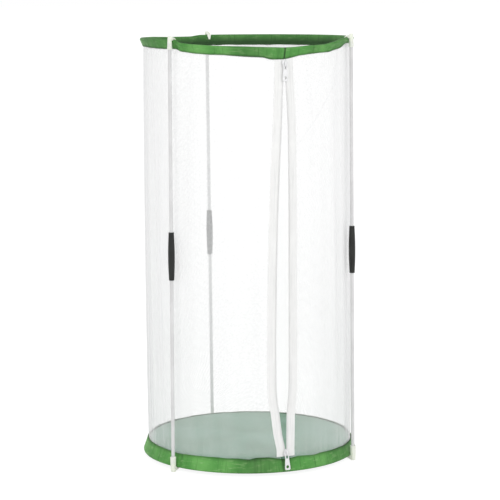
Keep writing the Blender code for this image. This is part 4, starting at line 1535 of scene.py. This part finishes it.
# %% [markdown]
# ## Folding
#
# When the rods come off, the top ring drops and the wall with its zip collapses under it. For each of these
# pieces the cell works out the share of its height that would bring its own top end down by the ring's
# travel, prints it, and gives the piece a mesh of its own.

# %% What crumples as the cage folds
def keep_under(top):
    """The share of its height that a piece keeps if its top end goes down with the ring."""
    return 1 - FOLD_TRAVEL / (top - BOTTOM_SEAM)


crumpling = [(wall, NET_CUT)]
crumpling += [(obj, strip_height(ZIP_TOP, degrees)) for obj, degrees in zip(tapes, (-3, 3))]
crumpling += [(obj, strip_height(ZIP_TOP, 0)) for obj in coils]
for obj, top in crumpling:
    keep_under(top)
    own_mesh(obj)
    print(f"{obj.name} keeps {100 * keep_under(top):.1f} % of its height")

# %% [markdown]
# ## Floor, light and camera
#
# The cage stands on a white floor. A floor lit until it is white would also bleach the cage, so it shines
# by itself, but only where the camera, a gloss or a glass sees it: Light Path tells those rays apart. The
# plain surface mixed in with that glow keeps the cage's soft shadow. It reaches so far that its edge stands
# above the cage in the picture, because an edge behind the net would show through it as a line.

# %% The ground
GROUND_REACH = 60
GROUND_GLOW = 1.25
GLOW_SHARE = 0.72


def stage_floor():
    bm = bmesh.new()
    bmesh.ops.create_grid(bm, x_segments=4, y_segments=4, size=GROUND_REACH)
    mesh = bpy.data.meshes.new("ground")
    bm.to_mesh(mesh)
    bm.free()
    obj = bpy.data.objects.new("ground", mesh)
    bpy.context.scene.collection.objects.link(obj)
    material, tree, shader = new_material("ground_white")
    settle(shader, {"Base Color": (0.9, 0.9, 0.9, 1), "Roughness": 0.9, "Specular IOR Level": 0.1})
    light_path = node(tree, "ShaderNodeLightPath")
    seen = calc(tree, "ADD", light_path.outputs["Is Camera Ray"], light_path.outputs["Is Glossy Ray"])
    seen = calc(tree, "MINIMUM", calc(tree, "ADD", seen, light_path.outputs["Is Transmission Ray"]), 1.0)
    glow = node(tree, "ShaderNodeEmission", {"Color": (1, 1, 1, 1), "Strength": GROUND_GLOW})
    share = calc(tree, "MULTIPLY", seen, GLOW_SHARE)
    mixed = node(tree, "ShaderNodeMixShader", (share, shader.outputs[0], glow.outputs[0]))
    tree.links.new(mixed.outputs[0], tree.nodes["Material Output"].inputs["Surface"])
    mesh.materials.append(material)


stage_floor()
print(f"the ground reaches {GROUND_REACH} m and is part of the stage, not of the cage")


# %% [markdown]
# The light is even and soft, from a pale world, with two broad lamps. The one in front lights the bands and
# tapes, and the one on the left gives the rods their shaded right sides.

# %% World and lamps
WORLD_LIGHT = 0.76


def make_world():
    world = bpy.data.worlds.new("studio")
    bpy.context.scene.world = world
    world.use_nodes = True
    tree = world.node_tree
    soft_light = tree.nodes["Background"]
    settle(soft_light, {"Color": (1, 1, 1, 1), "Strength": WORLD_LIGHT})
    seen_light = node(tree, "ShaderNodeBackground", {"Color": (1, 1, 1, 1), "Strength": 1.0})
    light_path = node(tree, "ShaderNodeLightPath")
    seen = light_path.outputs["Is Camera Ray"]
    mixed = node(tree, "ShaderNodeMixShader", (seen, soft_light.outputs[0], seen_light.outputs[0]))
    tree.links.new(mixed.outputs[0], tree.nodes["World Output"].inputs["Surface"])


def lamp(name, place, target, size, power):
    data = bpy.data.lights.new(name, "AREA")
    data.shape = "DISK"
    data.size = size
    data.energy = power
    obj = bpy.data.objects.new(name, data)
    bpy.context.scene.collection.objects.link(obj)
    obj.location = place
    obj.rotation_euler = (Vector(target) - Vector(place)).to_track_quat("-Z", "Y").to_euler()


make_world()
lamp("left_lamp", (-2.6, -1.4, 1.9), (0, 0, 0.3), 1.4, 15)
lamp("front_lamp", (0.7, -3.0, 1.8), (0, 0, 0.3), 1.6, 26)
print("lamps:", ", ".join(sorted(light.name for light in bpy.data.lights)))

# %% [markdown]
# The camera stands where the photograph was taken from, 20 degrees to the left of the zip and a little
# above the cage. It was found by fitting the rings and rods, so its distance and its lens go together: a
# longer lens from further off would flatten the rings.

# %% The camera
CAMERA_AZIMUTH = 19.99
CAMERA_PITCH = 7.896
CAMERA_ROLL = 0.3785
CAMERA_DISTANCE = 2.757
CAMERA_HEIGHT = 0.6824
CAMERA_SIDE = 0.00263
FOCAL_PIXELS = 1910
IMAGE_PIXELS = 500
CAMERA_REACH = 100

camera_data = bpy.data.cameras.new("camera")
camera_data.sensor_width = 36
camera_data.lens = FOCAL_PIXELS / IMAGE_PIXELS * camera_data.sensor_width
camera_data.clip_end = CAMERA_REACH
camera = bpy.data.objects.new("camera", camera_data)
bpy.context.scene.collection.objects.link(camera)
turn = Matrix.Rotation(math.radians(-CAMERA_AZIMUTH), 4, "Z")
place = turn @ Matrix.Translation((CAMERA_SIDE, -CAMERA_DISTANCE, CAMERA_HEIGHT))
tilt = Matrix.Rotation(math.radians(90 - CAMERA_PITCH), 4, "X") @ Matrix.Rotation(math.radians(-CAMERA_ROLL), 4, "Z")
camera.matrix_world = place @ tilt
bpy.context.scene.camera = camera
bpy.context.scene.view_settings.view_transform = "Standard"
print(f"the lens is {camera_data.lens:.0f} mm")

# %% [markdown]
#
# The visual model stays inside the CAD's box. Last, the view layer is updated, so that every piece stands
# where its body puts it.

# %% The last update
bpy.context.view_layer.update()
